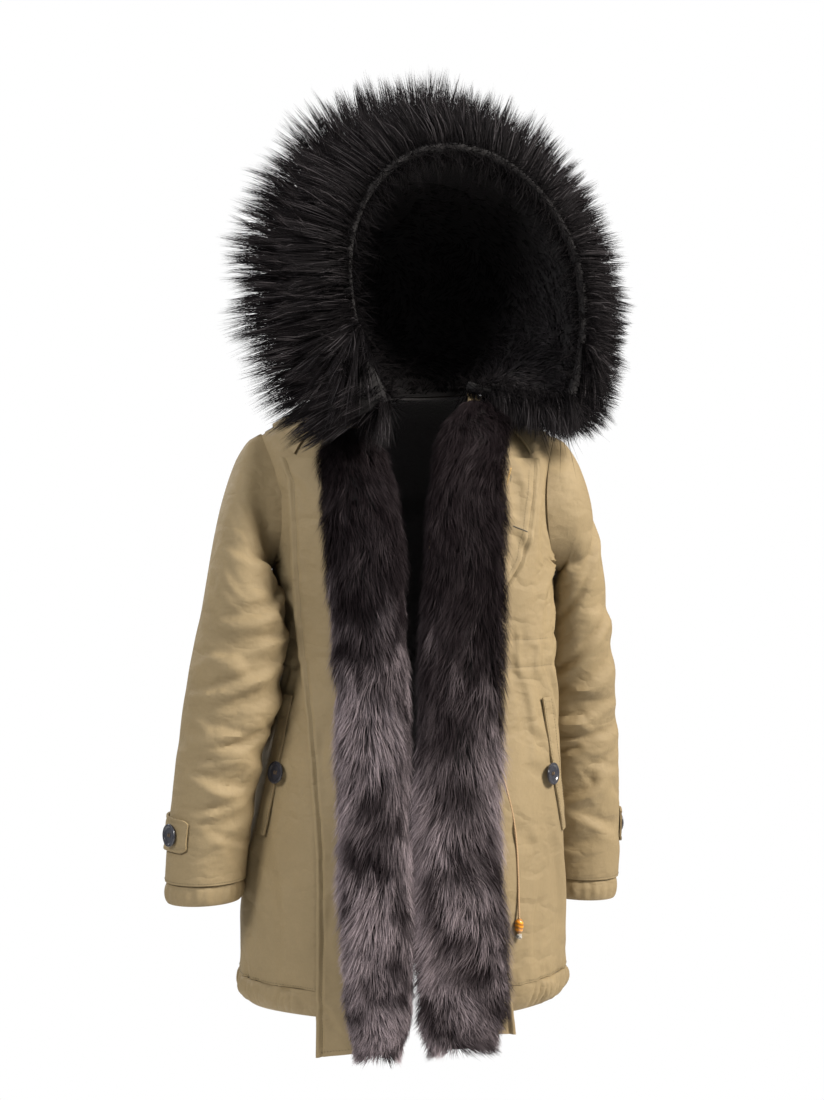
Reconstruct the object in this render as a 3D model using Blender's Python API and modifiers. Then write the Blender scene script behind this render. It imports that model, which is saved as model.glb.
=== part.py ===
"""Fur trimmed parka, held in its worn form with nothing inside it.

Metres, +Z up. The garment faces -Y and +X is the right of someone who looks at its front.
The origin is at the nape, where the neck seam rests on the wearer.
Each sewn piece is a wall, a pad or a tube of its own, about half a millimetre from its neighbours.
"""

import math

import bmesh
import bpy
import numpy as np
from mathutils import Matrix, Vector

# Cloth and clearances
CLOTH = 0.0026
SEAM_GAP = 0.0006
LAY_GAP = 0.0006
FACET_EASE = 0.0012

# Body
SIDE_SEAM = math.radians(90)
SQUARENESS = 0.9
NECK_HALF_WIDTH = 0.078
SHOULDER_HALF_WIDTH = 0.186
SHOULDER_DROP = 0.052
SHOULDER_ROLL_DEPTH = 0.13
NAPE_DEPTH_SHARE = 0.55
ARMHOLE_CENTRE = -0.131
ARMHOLE_HALF_HEIGHT = 0.082
ARMHOLE_CUT_FRONT = math.radians(27)
ARMHOLE_CUT_BACK = math.radians(23)
PANEL_HEM = -0.7215
CASING_TOP = -0.7221
CASING_BOTTOM = -0.753
CASING_BULGE = 0.0030
CASING_GATHER = 0.0022
CASING_GATHERS_ROUND = 34
WAIST = -0.320
WAIST_REACH = 0.035
WAIST_GATHER = 0.0013
WAIST_GATHERS_ROUND = 15
DRAPE = 0.0018
DRAPES_ROUND = 7

# Collar
COLLAR_INNER = (0.092, 0.062, 0.074)
COLLAR_OUTER = (0.168, 0.124, 0.112)
COLLAR_END = math.radians(50)
COLLAR_SLANT = math.radians(8)

# Sleeves
SLEEVE_EASE = 0.0028
ARMHOLE_LIFT = 0.0008
CUFF_SEAM_RUN = 0.955
CUFF_BULGE = 0.0022
CUFF_GATHERS = 9

# Hood
HOOD_TURN = math.radians(20)
HOOD_LEAN = math.radians(6)
RIM_CENTRE = np.array((0.062, -0.088, 0.126))
RIM_HALF_WIDTH = 0.166
RIM_RISE = 0.184
RIM_DROP = 0.205
RIM_SQUARENESS = 0.8
RIM_END = math.radians(137)
RIM_SAG = 0.020
NECK_SEAM_HALF_WIDTH = 0.086
NECK_SEAM_FRONT = 0.085
NECK_SEAM_BACK = 0.076
NECK_SEAM_END = math.radians(54)
NECK_SEAM_HEIGHT = 0.0046
NECK_SEAM_RISE = 0.0045
LINING_THICKNESS = 0.008
HOOD_COLUMNS = 25
HOOD_ROWS = 12
RUFF_BAND_ROWS = 3
RUFF_DROOP = 1.04
RUFF_LEFT_RISE = 0.16

# Lapels
LAPEL_TOP = -0.084
LAPEL_LIFT = CLOTH + LAY_GAP + 1.6 * FACET_EASE
LAPEL_SWING = 0.0055
LAPEL_SWING_FROM = -0.60
LAPEL_BOTTOMS = {"left": (-0.797, -0.782), "right": (-0.776, -0.765)}
FUR_TOPS = {"left": -0.052, "right": -0.018}
FUR_BOTTOMS = {"left": -0.792, "right": -0.788}

# Trims: places on a front are (x, height)
BUTTON_RADIUS = 0.0138
BUTTON_THICKNESS = 0.0042
WELT_WIDTH = 0.020
WELT_THICKNESS = 0.0022
WELTS = {
    "left": dict(top=(-0.151, -0.374), bottom=(-0.183, -0.545), button=(-0.1624, -0.468)),
    "right": dict(top=(0.161, -0.378), bottom=(0.184, -0.546), button=(0.1635, -0.472)),
}
TAB_RUN = (0.806, 0.884)
TAB_THICKNESS = 0.0026
TABS = {
    "left": dict(start=-40, end=60, button=33),
    "right": dict(start=-75, end=8, button=-18),
}
ZIP_WIDTH = 0.006
ZIP_THICKNESS = 0.0014
CORD_DIAMETER = 0.0028
BEAD_RADIUS = 0.0055
BEAD_HEIGHT = 0.017
KNOT_RADIUS = 0.0038


class Table:
    """Rows of named columns, read at any place along the first column by a smooth curve."""

    def __init__(self, names, *rows):
        self.names = names
        self.rows = np.array(sorted(rows), float)

    def at(self, name, where):
        places = self.rows[:, 0]
        values = self.rows[:, self.names.index(name)]
        where = min(max(where, places[0]), places[-1])
        i = min(max(int(np.searchsorted(places, where)) - 1, 0), len(places) - 2)
        span = places[i + 1] - places[i]
        t = (where - places[i]) / span
        start, end = (self.slope(places, values, k) * span for k in (i, i + 1))
        return (
            (2 * t**3 - 3 * t**2 + 1) * values[i]
            + (t**3 - 2 * t**2 + t) * start
            + (3 * t**2 - 2 * t**3) * values[i + 1]
            + (t**3 - t**2) * end
        )

    @staticmethod
    def slope(places, values, k):
        """Zero where the column turns round, so that the curve stays between its rows."""
        if k in (0, len(places) - 1):
            near = (0, 1) if k == 0 else (k - 1, k)
            return (values[near[1]] - values[near[0]]) / (places[near[1]] - places[near[0]])
        before = (values[k] - values[k - 1]) / (places[k] - places[k - 1])
        after = (values[k + 1] - values[k]) / (places[k + 1] - places[k])
        return 0.0 if before * after <= 0 else 2 * before * after / (before + after)


BODY = Table(
    ("height", "centre", "half_width", "front", "back"),
    (0.02, 0.000, 0.186, 0.112, 0.104),
    (-0.06, 0.000, 0.186, 0.118, 0.110),
    (-0.13, 0.002, 0.181, 0.126, 0.116),
    (-0.21, 0.006, 0.175, 0.128, 0.114),
    (-0.32, 0.011, 0.171, 0.122, 0.106),
    (-0.39, 0.008, 0.178, 0.128, 0.112),
    (-0.47, 0.002, 0.187, 0.137, 0.126),
    (-0.57, -0.004, 0.195, 0.145, 0.136),
    (-0.66, -0.007, 0.200, 0.149, 0.141),
    (-0.76, -0.008, 0.200, 0.150, 0.142),
)

# The front edge of each panel, where it turns back as a lapel, and the lapel's free edge.
LAPELS = Table(
    ("height", "left_fold", "left_edge", "right_fold", "right_edge"),
    (0.01, -0.080, -0.170, 0.076, 0.150),
    (-0.03, -0.068, -0.167, 0.058, 0.149),
    (-0.07, -0.052, -0.160, 0.034, 0.149),
    (-0.12, -0.044, -0.148, 0.018, 0.144),
    (-0.20, -0.038, -0.143, 0.012, 0.131),
    (-0.26, -0.034, -0.139, 0.009, 0.098),
    (-0.35, -0.030, -0.1305, 0.006, 0.084),
    (-0.46, -0.026, -0.123, 0.005, 0.080),
    (-0.57, -0.024, -0.1175, 0.005, 0.084),
    (-0.70, -0.022, -0.1165, 0.006, 0.098),
    (-0.80, -0.022, -0.1165, 0.006, 0.108),
)

# The two fur facings: their edges and how far the pile stands from the lapel.
FURS = Table(
    ("height", "left_out", "left_in", "right_in", "right_out", "pile"),
    (0.02, -0.084, -0.042, 0.040, 0.112, 0.020),
    (-0.02, -0.098, -0.034, 0.016, 0.115, 0.026),
    (-0.06, -0.105, -0.022, 0.003, 0.107, 0.029),
    (-0.09, -0.106, -0.019, 0.001, 0.102, 0.029),
    (-0.125, -0.105, -0.017, 0.001, 0.096, 0.029),
    (-0.16, -0.104, -0.017, 0.001, 0.101, 0.030),
    (-0.20, -0.104, -0.017, 0.001, 0.100, 0.030),
    (-0.30, -0.104, -0.014, -0.004, 0.099, 0.030),
    (-0.38, -0.104, -0.012, -0.006, 0.098, 0.030),
    (-0.56, -0.101, -0.012, -0.008, 0.092, 0.031),
    (-0.68, -0.094, -0.010, -0.006, 0.095, 0.031),
    (-0.74, -0.092, -0.012, -0.004, 0.092, 0.028),
    (-0.80, -0.076, -0.030, 0.012, 0.074, 0.016),
)

# Each sleeve below the armhole, as its outer and inner line seen from the front.
SLEEVE_NAMES = ("run", "outer_x", "outer_z", "inner_x", "inner_z", "centre_y", "half_depth")
SLEEVES = {
    "left": Table(
        SLEEVE_NAMES,
        (0.06, 0.208, -0.064, 0.1845, -0.218, -0.008, 0.062),
        (0.14, 0.223, -0.110, 0.1795, -0.228, -0.024, 0.061),
        (0.24, 0.238, -0.175, 0.1705, -0.243, -0.044, 0.059),
        (0.36, 0.253, -0.262, 0.1625, -0.294, -0.062, 0.057),
        (0.50, 0.271, -0.352, 0.1705, -0.364, -0.066, 0.056),
        (0.64, 0.282, -0.430, 0.189, -0.435, -0.064, 0.053),
        (0.78, 0.291, -0.506, 0.204, -0.506, -0.060, 0.050),
        (0.90, 0.297, -0.569, 0.212, -0.566, -0.056, 0.047),
        (1.00, 0.300, -0.626, 0.217, -0.622, -0.054, 0.045),
    ),
    "right": Table(
        SLEEVE_NAMES,
        (0.06, 0.208, -0.064, 0.196, -0.218, 0.004, 0.062),
        (0.14, 0.225, -0.110, 0.199, -0.226, 0.012, 0.062),
        (0.24, 0.241, -0.175, 0.194, -0.243, 0.026, 0.061),
        (0.36, 0.259, -0.262, 0.189, -0.298, 0.044, 0.059),
        (0.50, 0.273, -0.358, 0.186, -0.371, 0.064, 0.056),
        (0.64, 0.281, -0.442, 0.187, -0.448, 0.078, 0.053),
        (0.78, 0.285, -0.524, 0.192, -0.526, 0.088, 0.050),
        (0.90, 0.287, -0.595, 0.197, -0.593, 0.094, 0.047),
        (1.00, 0.285, -0.658, 0.198, -0.654, 0.098, 0.045),
    ),
}
SIDES = {"left": -1, "right": 1}

# Soft troughs and ridges pressed into a sleeve: place along it, place round it, reach of each, depth.
CREASE_NAMES = ("run", "round", "run_reach", "round_reach", "slant", "depth")
SLEEVE_CREASES = {
    "left": (
        (0.20, 150, 0.020, 34, 0.05, -0.0040),
        (0.27, 120, 0.022, 46, -0.06, -0.0045),
        (0.33, 165, 0.020, 42, 0.06, -0.0040),
        (0.43, 95, 0.024, 60, 0.05, -0.0050),
        (0.50, 150, 0.022, 52, -0.05, -0.0050),
        (0.57, 90, 0.024, 58, -0.07, -0.0055),
        (0.64, 140, 0.022, 52, 0.05, -0.0045),
        (0.71, 100, 0.022, 50, 0.07, -0.0040),
        (0.80, 125, 0.022, 48, -0.08, -0.0030),
        (0.47, 280, 0.024, 50, 0.05, -0.0045),
        (0.60, 255, 0.024, 56, -0.05, -0.0050),
        (0.72, 285, 0.022, 46, 0.06, -0.0035),
    ),
    "right": (
        (0.22, 40, 0.020, 40, 0.06, -0.0035),
        (0.36, 35, 0.022, 46, -0.05, -0.0040),
        (0.47, 60, 0.024, 56, 0.05, -0.0045),
        (0.55, 100, 0.024, 58, -0.05, -0.0050),
        (0.62, 55, 0.022, 50, 0.06, -0.0045),
        (0.71, 85, 0.024, 54, 0.09, -0.0045),
        (0.82, 60, 0.022, 46, -0.08, -0.0035),
        (0.46, 250, 0.024, 50, 0.05, -0.0045),
        (0.58, 285, 0.024, 56, -0.05, -0.0050),
        (0.70, 250, 0.022, 46, 0.06, -0.0035),
    ),
}

# How far the ruff's hair reaches from its foot, round the opening from its left end to its right.
RUFF = Table(
    ("round", "reach"),
    (0.00, 0.150),
    (0.06, 0.146),
    (0.12, 0.138),
    (0.20, 0.130),
    (0.38, 0.122),
    (0.55, 0.116),
    (0.75, 0.090),
    (0.90, 0.068),
    (1.00, 0.070),
)

# The line that the zip keeps to beside the right fur, as x at each height.
ZIP_LINE = Table(
    ("height", "x"),
    (-0.150, 0.1010),
    (-0.1275, 0.1045),
    (-0.0875, 0.1165),
    (-0.050, 0.1240),
)

# The drawcord's hanging end: it leaves the waist casing behind the fur and ends in a bead and a knot.
CORD_ROUTE = (
    (0.0965, -0.1278, -0.4600),
    (0.1040, -0.1266, -0.4740),
    (0.1105, -0.1252, -0.4960),
    (0.1160, -0.1246, -0.5200),
    (0.1196, -0.1256, -0.5500),
    (0.1214, -0.1270, -0.5860),
    (0.1216, -0.1300, -0.6160),
    (0.1214, -0.1348, -0.6400),
)


def srgb(red, green, blue):
    return tuple((c / 255) ** 2.2 for c in (red, green, blue)) + (1.0,)


FINISHES = {
    "olive cotton": (srgb(138, 122, 88), 0.85, 0.0),
    "facing fur": (srgb(38, 31, 36), 0.7, 0.0),
    "hood fur": (srgb(24, 22, 25), 0.65, 0.0),
    "horn button": (srgb(46, 46, 54), 0.35, 0.0),
    "zip tape": (srgb(120, 98, 60), 0.6, 0.3),
    "tan cord": (srgb(150, 112, 78), 0.8, 0.0),
    "amber wood": (srgb(200, 120, 30), 0.3, 0.0),
}


def finish(name):
    """The material of that name, made once."""
    if name in bpy.data.materials:
        return bpy.data.materials[name]
    colour, roughness, metallic = FINISHES[name]
    material = bpy.data.materials.new(name)
    material.use_nodes = True
    shader = material.node_tree.nodes["Principled BSDF"]
    shader.inputs["Base Color"].default_value = colour
    shader.inputs["Roughness"].default_value = roughness
    shader.inputs["Metallic"].default_value = metallic
    return material


def add_object(name, data, material):
    data.materials.append(finish(material))
    obj = bpy.data.objects.new(name, data)
    bpy.data.collections["Parka"].objects.link(obj)
    return obj


def add_mesh(name, points, faces, material):
    mesh = bpy.data.meshes.new(name)
    mesh.from_pydata([tuple(map(float, p)) for p in points], [], faces)
    mesh.update()
    mesh.shade_smooth()
    mesh.set_sharp_from_angle(angle=math.radians(50))
    return add_object(name, mesh, material)


def unit(vector):
    return vector / max(np.linalg.norm(vector), 1e-12)


def clamp(value, low=0.0, high=1.0):
    return min(max(value, low), high)


def normal_of(surface, u, v, step=1e-3):
    """The surface's outward normal. Seen from outside, u runs to the right and v downwards."""
    across = surface(u + step, v) - surface(u - step, v)
    down = surface(u, v + step) - surface(u, v - step)
    return unit(np.cross(down, across))


def stations(count, power=1.0):
    return [(i / (count - 1)) ** power for i in range(count)]


def wall(name, surface, us, vs, material, thickness=CLOTH, relief=None, lift=0.0, closed=False):
    """A wall on the surface: a plain inner side, and an outer side that carries the relief."""
    inner = []
    outer = []
    for v in vs:
        for u in us:
            normal = normal_of(surface, u, v)
            low = lift(u, v) if callable(lift) else lift
            inner.append(surface(u, v) + normal * low)
            raised = relief(u, v) if relief else 0.0
            outer.append(inner[-1] + normal * (thickness + raised))
    width, height = len(us), len(vs)
    back = len(inner)
    spans = width if closed else width - 1
    faces = []
    for j in range(height - 1):
        for i in range(spans):
            a = j * width + i
            b = j * width + (i + 1) % width
            for corners in ((a, a + width, b + width), (a, b + width, b)):
                faces.append(corners[::-1])
                faces.append(tuple(back + k for k in corners))
    for row, turn in ((0, -1), (height - 1, 1)):
        for i in range(spans):
            a = row * width + i
            b = row * width + (i + 1) % width
            faces.append((a, b, back + b, back + a)[::turn])
    for column, turn in () if closed else ((0, 1), (width - 1, -1)):
        for j in range(height - 1):
            a = j * width + column
            d = a + width
            faces.append((a, d, back + d, back + a)[::turn])
    return add_mesh(name, inner + outer, faces, material)


def pad(name, rings, material):
    """A closed body through rings of equal count, with a cap on each end."""
    count = len(rings[0])
    points = [p for ring in rings for p in ring]
    faces = []
    for j in range(len(rings) - 1):
        for i in range(count):
            a = j * count + i
            b = j * count + (i + 1) % count
            faces.append((a, b, b + count, a + count))
    for start, turn in ((0, -1), (len(points) - count, 1)):
        cap = list(range(start, start + count))[::turn]
        points.append(np.mean([points[k] for k in cap], axis=0))
        faces += [(cap[i], cap[(i + 1) % count], len(points) - 1) for i in range(count)]
    obj = add_mesh(name, points, faces, material)
    shape = bmesh.new()
    shape.from_mesh(obj.data)
    bmesh.ops.recalc_face_normals(shape, faces=shape.faces)
    shape.to_mesh(obj.data)
    shape.free()
    return obj


def turned(name, profile, steps, place, normal, material, bored=False):
    """A profile of (radius, height) turned round the normal, from its top down its outer side."""
    mesh = bpy.data.meshes.new(name)
    edges = [(i, i + 1) for i in range(len(profile) - 1)]
    if bored:
        edges.append((len(profile) - 1, 0))
    mesh.from_pydata([(radius, 0.0, height) for radius, height in profile], edges, [])
    obj = add_object(name, mesh, material)
    screw = obj.modifiers.new("Turn", "SCREW")
    screw.steps = screw.render_steps = steps
    screw.use_merge_vertices = True
    screw.merge_threshold = 1e-5
    screw.use_smooth_shade = True
    facing = Vector([float(c) for c in normal]).to_track_quat("Z", "Y").to_matrix().to_4x4()
    obj.matrix_world = Matrix.Translation([float(c) for c in place]) @ facing
    return obj


# ---------------------------------------------------------------- body


def signed_power(value, power):
    return math.copysign(abs(value) ** power, value)


def ridge_height(x):
    """The shoulder line's height: level at the neck, then down to the shoulder point."""
    run = (abs(x) - NECK_HALF_WIDTH) / (SHOULDER_HALF_WIDTH - NECK_HALF_WIDTH)
    run = clamp(run, 0.0, 1.1)
    return -SHOULDER_DROP * (0.75 * run + 0.25 * run * run)


def shoulder_roll(x, height):
    """How much of the full depth the body has reached at this height below the shoulder line."""
    at_neck = NAPE_DEPTH_SHARE * max(0.0, 1 - (x / NECK_HALF_WIDTH) ** 2) ** 0.5
    below = clamp((ridge_height(x) - height) / SHOULDER_ROLL_DEPTH)
    return at_neck + (1 - at_neck) * math.sqrt(1 - (1 - below) ** 2)


def body_point(angle, height):
    """A point of the body's inner side. The angle is 0 at the front and grows to the right."""
    across = signed_power(math.sin(angle), SQUARENESS)
    along = signed_power(math.cos(angle), SQUARENESS)
    x = BODY.at("half_width", height) * across
    depth = BODY.at("front" if along > 0 else "back", height)
    y = -depth * along * shoulder_roll(x, height)
    return np.array((BODY.at("centre", height) + x, y, height))


def angle_at(x, height):
    """The angle of the front surface at that x."""
    share = (x - BODY.at("centre", height)) / BODY.at("half_width", height)
    return math.asin(signed_power(clamp(share, -1.0), 1 / SQUARENESS))


def drape(angle, height):
    """What the waist drawcord gathers, and the soft drapes below it, as height over the plain form."""
    near_waist = math.exp(-(((height - WAIST) / WAIST_REACH) ** 2))
    below = clamp((WAIST - height) / 0.3)
    gather = WAIST_GATHER * near_waist * (1 + math.sin(WAIST_GATHERS_ROUND * angle + 0.7))
    fold = DRAPE * below * (1 + math.sin(DRAPES_ROUND * angle + 1.3 + 5 * height))
    return gather + fold


def casing_fold(angle, share):
    """The hem casing's plump edge and its gathers, at that share of its height."""
    plump = math.sin(math.pi * clamp(share)) ** 0.7
    gather = math.sin(CASING_GATHERS_ROUND * angle) + 0.5 * math.sin(13 * angle + 1)
    return plump * (CASING_BULGE + CASING_GATHER * (1.5 + gather) / 3)


def armhole_cut(height, cut):
    """How far the armhole takes the panel's edge in from the side seam at this height."""
    level = (height - ARMHOLE_CENTRE) / ARMHOLE_HALF_HEIGHT
    return cut * math.sqrt(max(0.0, 1 - level * level))


def top_at(angle):
    return ridge_height(BODY.at("half_width", 0) * signed_power(math.sin(angle), SQUARENESS))


def front_place(side):
    """u runs left to right over one front and v from the shoulder line to the hem."""
    sign = SIDES[side]
    neck = angle_at(LAPELS.at(side + "_fold", 0.0), 0.0)

    def place(u, v):
        from_fold = u if sign > 0 else 1 - u
        top = top_at(neck + (sign * SIDE_SEAM - neck) * from_fold)
        height = top + max(v, 0.0) * (PANEL_HEM - top)
        fold = angle_at(LAPELS.at(side + "_fold", height), height)
        half_gap = SEAM_GAP / 4 / BODY.at("front", height)
        seam = sign * (SIDE_SEAM - armhole_cut(height, ARMHOLE_CUT_FRONT) - half_gap)
        return fold + (seam - fold) * from_fold, height

    return place


def back_place(u, v):
    """u runs from the right side seam round the back to the left one."""
    swing = 1 - 2 * u
    top = top_at(swing * SIDE_SEAM)
    height = top + max(v, 0.0) * (PANEL_HEM - top)
    half_gap = SEAM_GAP / 4 / BODY.at("back", height)
    reach = SIDE_SEAM - armhole_cut(height, ARMHOLE_CUT_BACK) - half_gap
    return math.pi - swing * reach, height


def upper_back_place(u, v):
    """The back above its waist seam. Its rows match the fronts' down to the last, which is level."""
    top = back_place(u, 0.0)[1]
    share = (WAIST + SEAM_GAP / 4 - top) / (PANEL_HEM - top)
    kept, end = PANEL_ROWS[UPPER_ROWS - 1], PANEL_ROWS[UPPER_ROWS]
    if v > kept:
        v = kept + (v - kept) * (share - kept) / (end - kept)
    return back_place(u, v)


def back_skirt_place(u, v):
    """The back below its waist seam, with v from the seam to the hem."""
    top = back_place(u, 0.0)[1]
    height = WAIST - SEAM_GAP / 4 + v * (PANEL_HEM - WAIST)
    return back_place(u, (height - top) / (PANEL_HEM - top))


PANEL_ROWS = stations(17, 1.35)
UPPER_ROWS = 8


def panel_surface(place, shift):
    """The panel's inner side. The shift keeps fronts and back apart along the shoulder."""

    def surface(u, v):
        return body_point(*place(u, v)) + np.array((0.0, shift, 0.0))

    return surface


def casing_surface(panel):
    """The hem casing carries on below its panel and turns in a little at the bottom."""

    def surface(u, v):
        point = panel(u, 1.0)
        inward = unit(np.array((point[0], point[1], 0.0)))
        point[2] = CASING_TOP + v * (CASING_BOTTOM - CASING_TOP)
        return point - inward * 0.006 * max(v, 0.0) ** 2

    return surface


def add_panel(name, casing, place, shift, columns, rows, casing_columns, covered):
    """A body panel and the hem casing below it. The casing lies plain where a lapel covers it."""
    surface = panel_surface(place, shift)
    wall(name, surface, stations(columns), rows, "olive cotton",
         relief=lambda u, v: drape(*place(u, v)))

    def gathered(u, v):
        edge = drape(place(u, 1.0)[0], PANEL_HEM) * (1 - 0.5 * clamp(v))
        return edge + casing_fold(place(u, 1.0)[0], v) * (1 - covered(u))

    wall(casing, casing_surface(surface), stations(casing_columns), stations(3), "olive cotton",
         relief=gathered)


def add_body():
    shift = SEAM_GAP / 2
    wall("back_panel", panel_surface(upper_back_place, shift), stations(21), PANEL_ROWS[:UPPER_ROWS + 1],
         "olive cotton", relief=lambda u, v: drape(*upper_back_place(u, v)))
    add_panel("back_skirt", "hem_casing_back", back_skirt_place, shift, 21, stations(10), 37, lambda u: 0.0)
    for side, sign in SIDES.items():
        add_panel(f"front_{side}", f"hem_casing_{side}", front_place(side), -SEAM_GAP / 2, 12, PANEL_ROWS, 19,
                  lambda u, sign=sign: clamp((0.62 - (u if sign > 0 else 1 - u)) / 0.12))


# ---------------------------------------------------------------- collar


def shoulder_height(x, y):
    """The height of the body's surface under that point, found by halving."""
    high = ridge_height(x)
    low = high - SHOULDER_ROLL_DEPTH
    for _ in range(24):
        level = (high + low) / 2
        angle = angle_at(x, level)
        angle = angle if y < 0 else math.pi - angle
        if abs(body_point(angle, level)[1]) < abs(y):
            high = level
        else:
            low = level
    return level


def collar_surface(u, v):
    """The collar lies on the shoulders: u runs from its right front end round the back to the left."""
    end = COLLAR_END + COLLAR_SLANT * v
    angle = end + u * 2 * (math.pi - end)
    forward = math.cos(angle) > 0
    inner = COLLAR_INNER[1 if forward else 2]
    outer = COLLAR_OUTER[1 if forward else 2]
    half_width = COLLAR_INNER[0] + (COLLAR_OUTER[0] - COLLAR_INNER[0]) * v
    half_depth = inner + (outer - inner) * v
    x = half_width * math.sin(angle)
    y = -half_depth * math.cos(angle)
    return np.array((x, y, shoulder_height(x, y)))


def add_collar():
    wall("collar", collar_surface, stations(25), stations(4), "olive cotton",
         lift=CLOTH + LAY_GAP + 2.2 * FACET_EASE)


# ---------------------------------------------------------------- lapels


def front_spot(x, height, lift, along=0.0):
    """The point, and the normal, that far out from the front at that x and that far along it."""
    reach = max(height, PANEL_HEM)
    turn, step = 0.02, 0.002
    angle = angle_at(x, reach)
    if along:
        across = body_point(angle + turn, reach) - body_point(angle - turn, reach)
        angle += along * 2 * turn / np.linalg.norm(across)
    across = body_point(angle + turn, reach) - body_point(angle - turn, reach)
    down = body_point(angle, reach - step) - body_point(angle, reach + step)
    normal = unit(np.cross(down, across))
    point = body_point(angle, reach)
    if height < PANEL_HEM:
        point[2] = height
        normal = unit(np.array((normal[0], normal[1], 0.0)))
    return point + normal * (lift + drape(angle, reach)), normal


def on_front(x, height, lift):
    return front_spot(x, height, lift)[0]


def lapel_lift(height):
    """The lapel lies on the front and swings clear of the hem casing."""
    free = clamp((LAPEL_SWING_FROM - height) / 0.12)
    return LAPEL_LIFT + LAPEL_SWING * free * free * (3 - 2 * free)


def placket_surface(side):
    sign = SIDES[side]
    edge_bottom, fold_bottom = LAPEL_BOTTOMS[side]

    def surface(u, v):
        from_fold = u if sign > 0 else 1 - u
        bottom = fold_bottom + (edge_bottom - fold_bottom) * clamp(from_fold)
        height = LAPEL_TOP + v * (bottom - LAPEL_TOP)
        fold = LAPELS.at(side + "_fold", height) + sign * 0.004
        edge = LAPELS.at(side + "_edge", height)
        return on_front(fold + (edge - fold) * from_fold, height, lapel_lift(height))

    return surface


def fur_facing(side, count=27, sides=12):
    """A plump strip of fur: flat on the lapel, domed outside, with rounded ends."""
    sign = SIDES[side]
    rings = []
    for k in range(count):
        share = k / (count - 1)
        eased = 0.5 - 0.5 * math.cos(math.pi * share)
        height = FUR_TOPS[side] + (FUR_BOTTOMS[side] - FUR_TOPS[side]) * (0.45 * eased + 0.55 * share)
        near_end = min(share, 1 - share) * (count - 1)
        end = math.sqrt(min(1.0, 0.12 + near_end / 2.2))
        inner = FURS.at(side + "_in", height)
        outer = FURS.at(side + "_out", height)
        centre, half = (inner + outer) / 2, (outer - inner) / 2 * sign * end
        tuft = 1 + 0.06 * math.sin(9.0 * math.pi * share + sign) + 0.04 * math.sin(23 * math.pi * share)
        pile = FURS.at("pile", height) * end * tuft
        over_collar = 0.0012 * clamp((height + 0.16) / 0.04) if sign > 0 else 0.0
        base = lapel_lift(height) + CLOTH + LAY_GAP + 0.0003 + over_collar
        ring = []
        for i in range(sides):
            turn = 2 * math.pi * i / sides
            x = centre + half * signed_power(math.cos(turn), 0.8)
            rise = pile * (0.5 + 0.5 * signed_power(math.sin(turn), 0.75))
            ring.append(on_front(x, height, base + rise))
        rings.append(ring)
    pad(f"fur_facing_{side}", rings, "facing fur")


def zip_surface(u, v):
    """The narrow zip tape that shows between the right placket and its fur, at the top."""
    height = LAPEL_TOP - 0.004 - v * 0.062
    x = ZIP_LINE.at("x", height) + (u - 0.5) * ZIP_WIDTH
    return on_front(x, height, lapel_lift(height) + CLOTH + LAY_GAP / 2)


def add_lapels():
    for side in SIDES:
        wall(f"placket_{side}", placket_surface(side), stations(6), stations(20), "olive cotton")
        fur_facing(side)
    wall("zip_tape", zip_surface, stations(2), stations(7), "zip tape", thickness=ZIP_THICKNESS - LAY_GAP)


# ---------------------------------------------------------------- sleeves


def armhole_point(side, turn):
    """The armhole's loop on the body, lifted just clear of the panels."""
    height = ARMHOLE_CENTRE + ARMHOLE_HALF_HEIGHT * math.cos(turn)
    front = math.sin(turn) > 0
    cut = ARMHOLE_CUT_FRONT if front else ARMHOLE_CUT_BACK
    angle = SIDE_SEAM - cut * abs(math.sin(turn))
    angle = angle if front else math.pi - angle
    sign = SIDES[side]

    def place(swing, level):
        return body_point(sign * swing, level)

    across = place(angle + 0.01, height) - place(angle - 0.01, height)
    down = place(angle, height - 0.002) - place(angle, height + 0.002)
    normal = unit(np.cross(down, across)) * sign
    return place(angle, height) + normal * (CLOTH + ARMHOLE_LIFT)


def sleeve_ring(side, run, turn):
    """A point of the sleeve's inner side below the armhole."""
    table = SLEEVES[side]
    outer = np.array((table.at("outer_x", run), table.at("outer_z", run)))
    inner = np.array((table.at("inner_x", run), table.at("inner_z", run)))
    x, z = (outer + inner) / 2 + (outer - inner) / 2 * math.cos(turn)
    y = table.at("centre_y", run) - table.at("half_depth", run) * signed_power(math.sin(turn), 0.95)
    return np.array((SIDES[side] * x, y, z))


def sleeve_turn(side, u):
    """The turn round a sleeve is 0 at its outer side and grows towards the front."""
    return 2 * math.pi * (u if SIDES[side] < 0 else -u)


def sleeve_surface(side, start=0.0, end=1.0):
    """u runs round the sleeve and v down it. The first ring is the armhole."""

    def surface(u, v):
        run = start + (end - start) * v
        turn = sleeve_turn(side, u)
        joined = clamp(run / 0.10)
        eased = joined * joined * (3 - 2 * joined)
        point = sleeve_ring(side, max(run, 0.06), turn)
        if eased < 1:
            point = armhole_point(side, turn) * (1 - eased) + point * eased
        return point

    return surface


def creases(side, run, turn):
    """What soft troughs, each with a low ridge beside it, add at this place of a sleeve."""
    total = 0.0
    for row in SLEEVE_CREASES[side]:
        crease = dict(zip(CREASE_NAMES, row))
        swing = (math.degrees(turn) - crease["round"] + 180) % 360 - 180
        along = (run - crease["run"] - crease["slant"] * swing / 90) / crease["run_reach"]
        fade = math.exp(-((swing / crease["round_reach"]) ** 2))
        total += crease["depth"] * fade * (math.exp(-along * along) - 0.7 * math.exp(-((along - 1.7) ** 2)))
    return total


def sleeve_relief(side, start, end):
    def relief(u, v):
        run = start + (end - start) * v
        ease = SLEEVE_EASE * clamp(run / 0.2)
        return max(ease + creases(side, run, sleeve_turn(side, u)), 0.0)

    return relief


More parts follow.
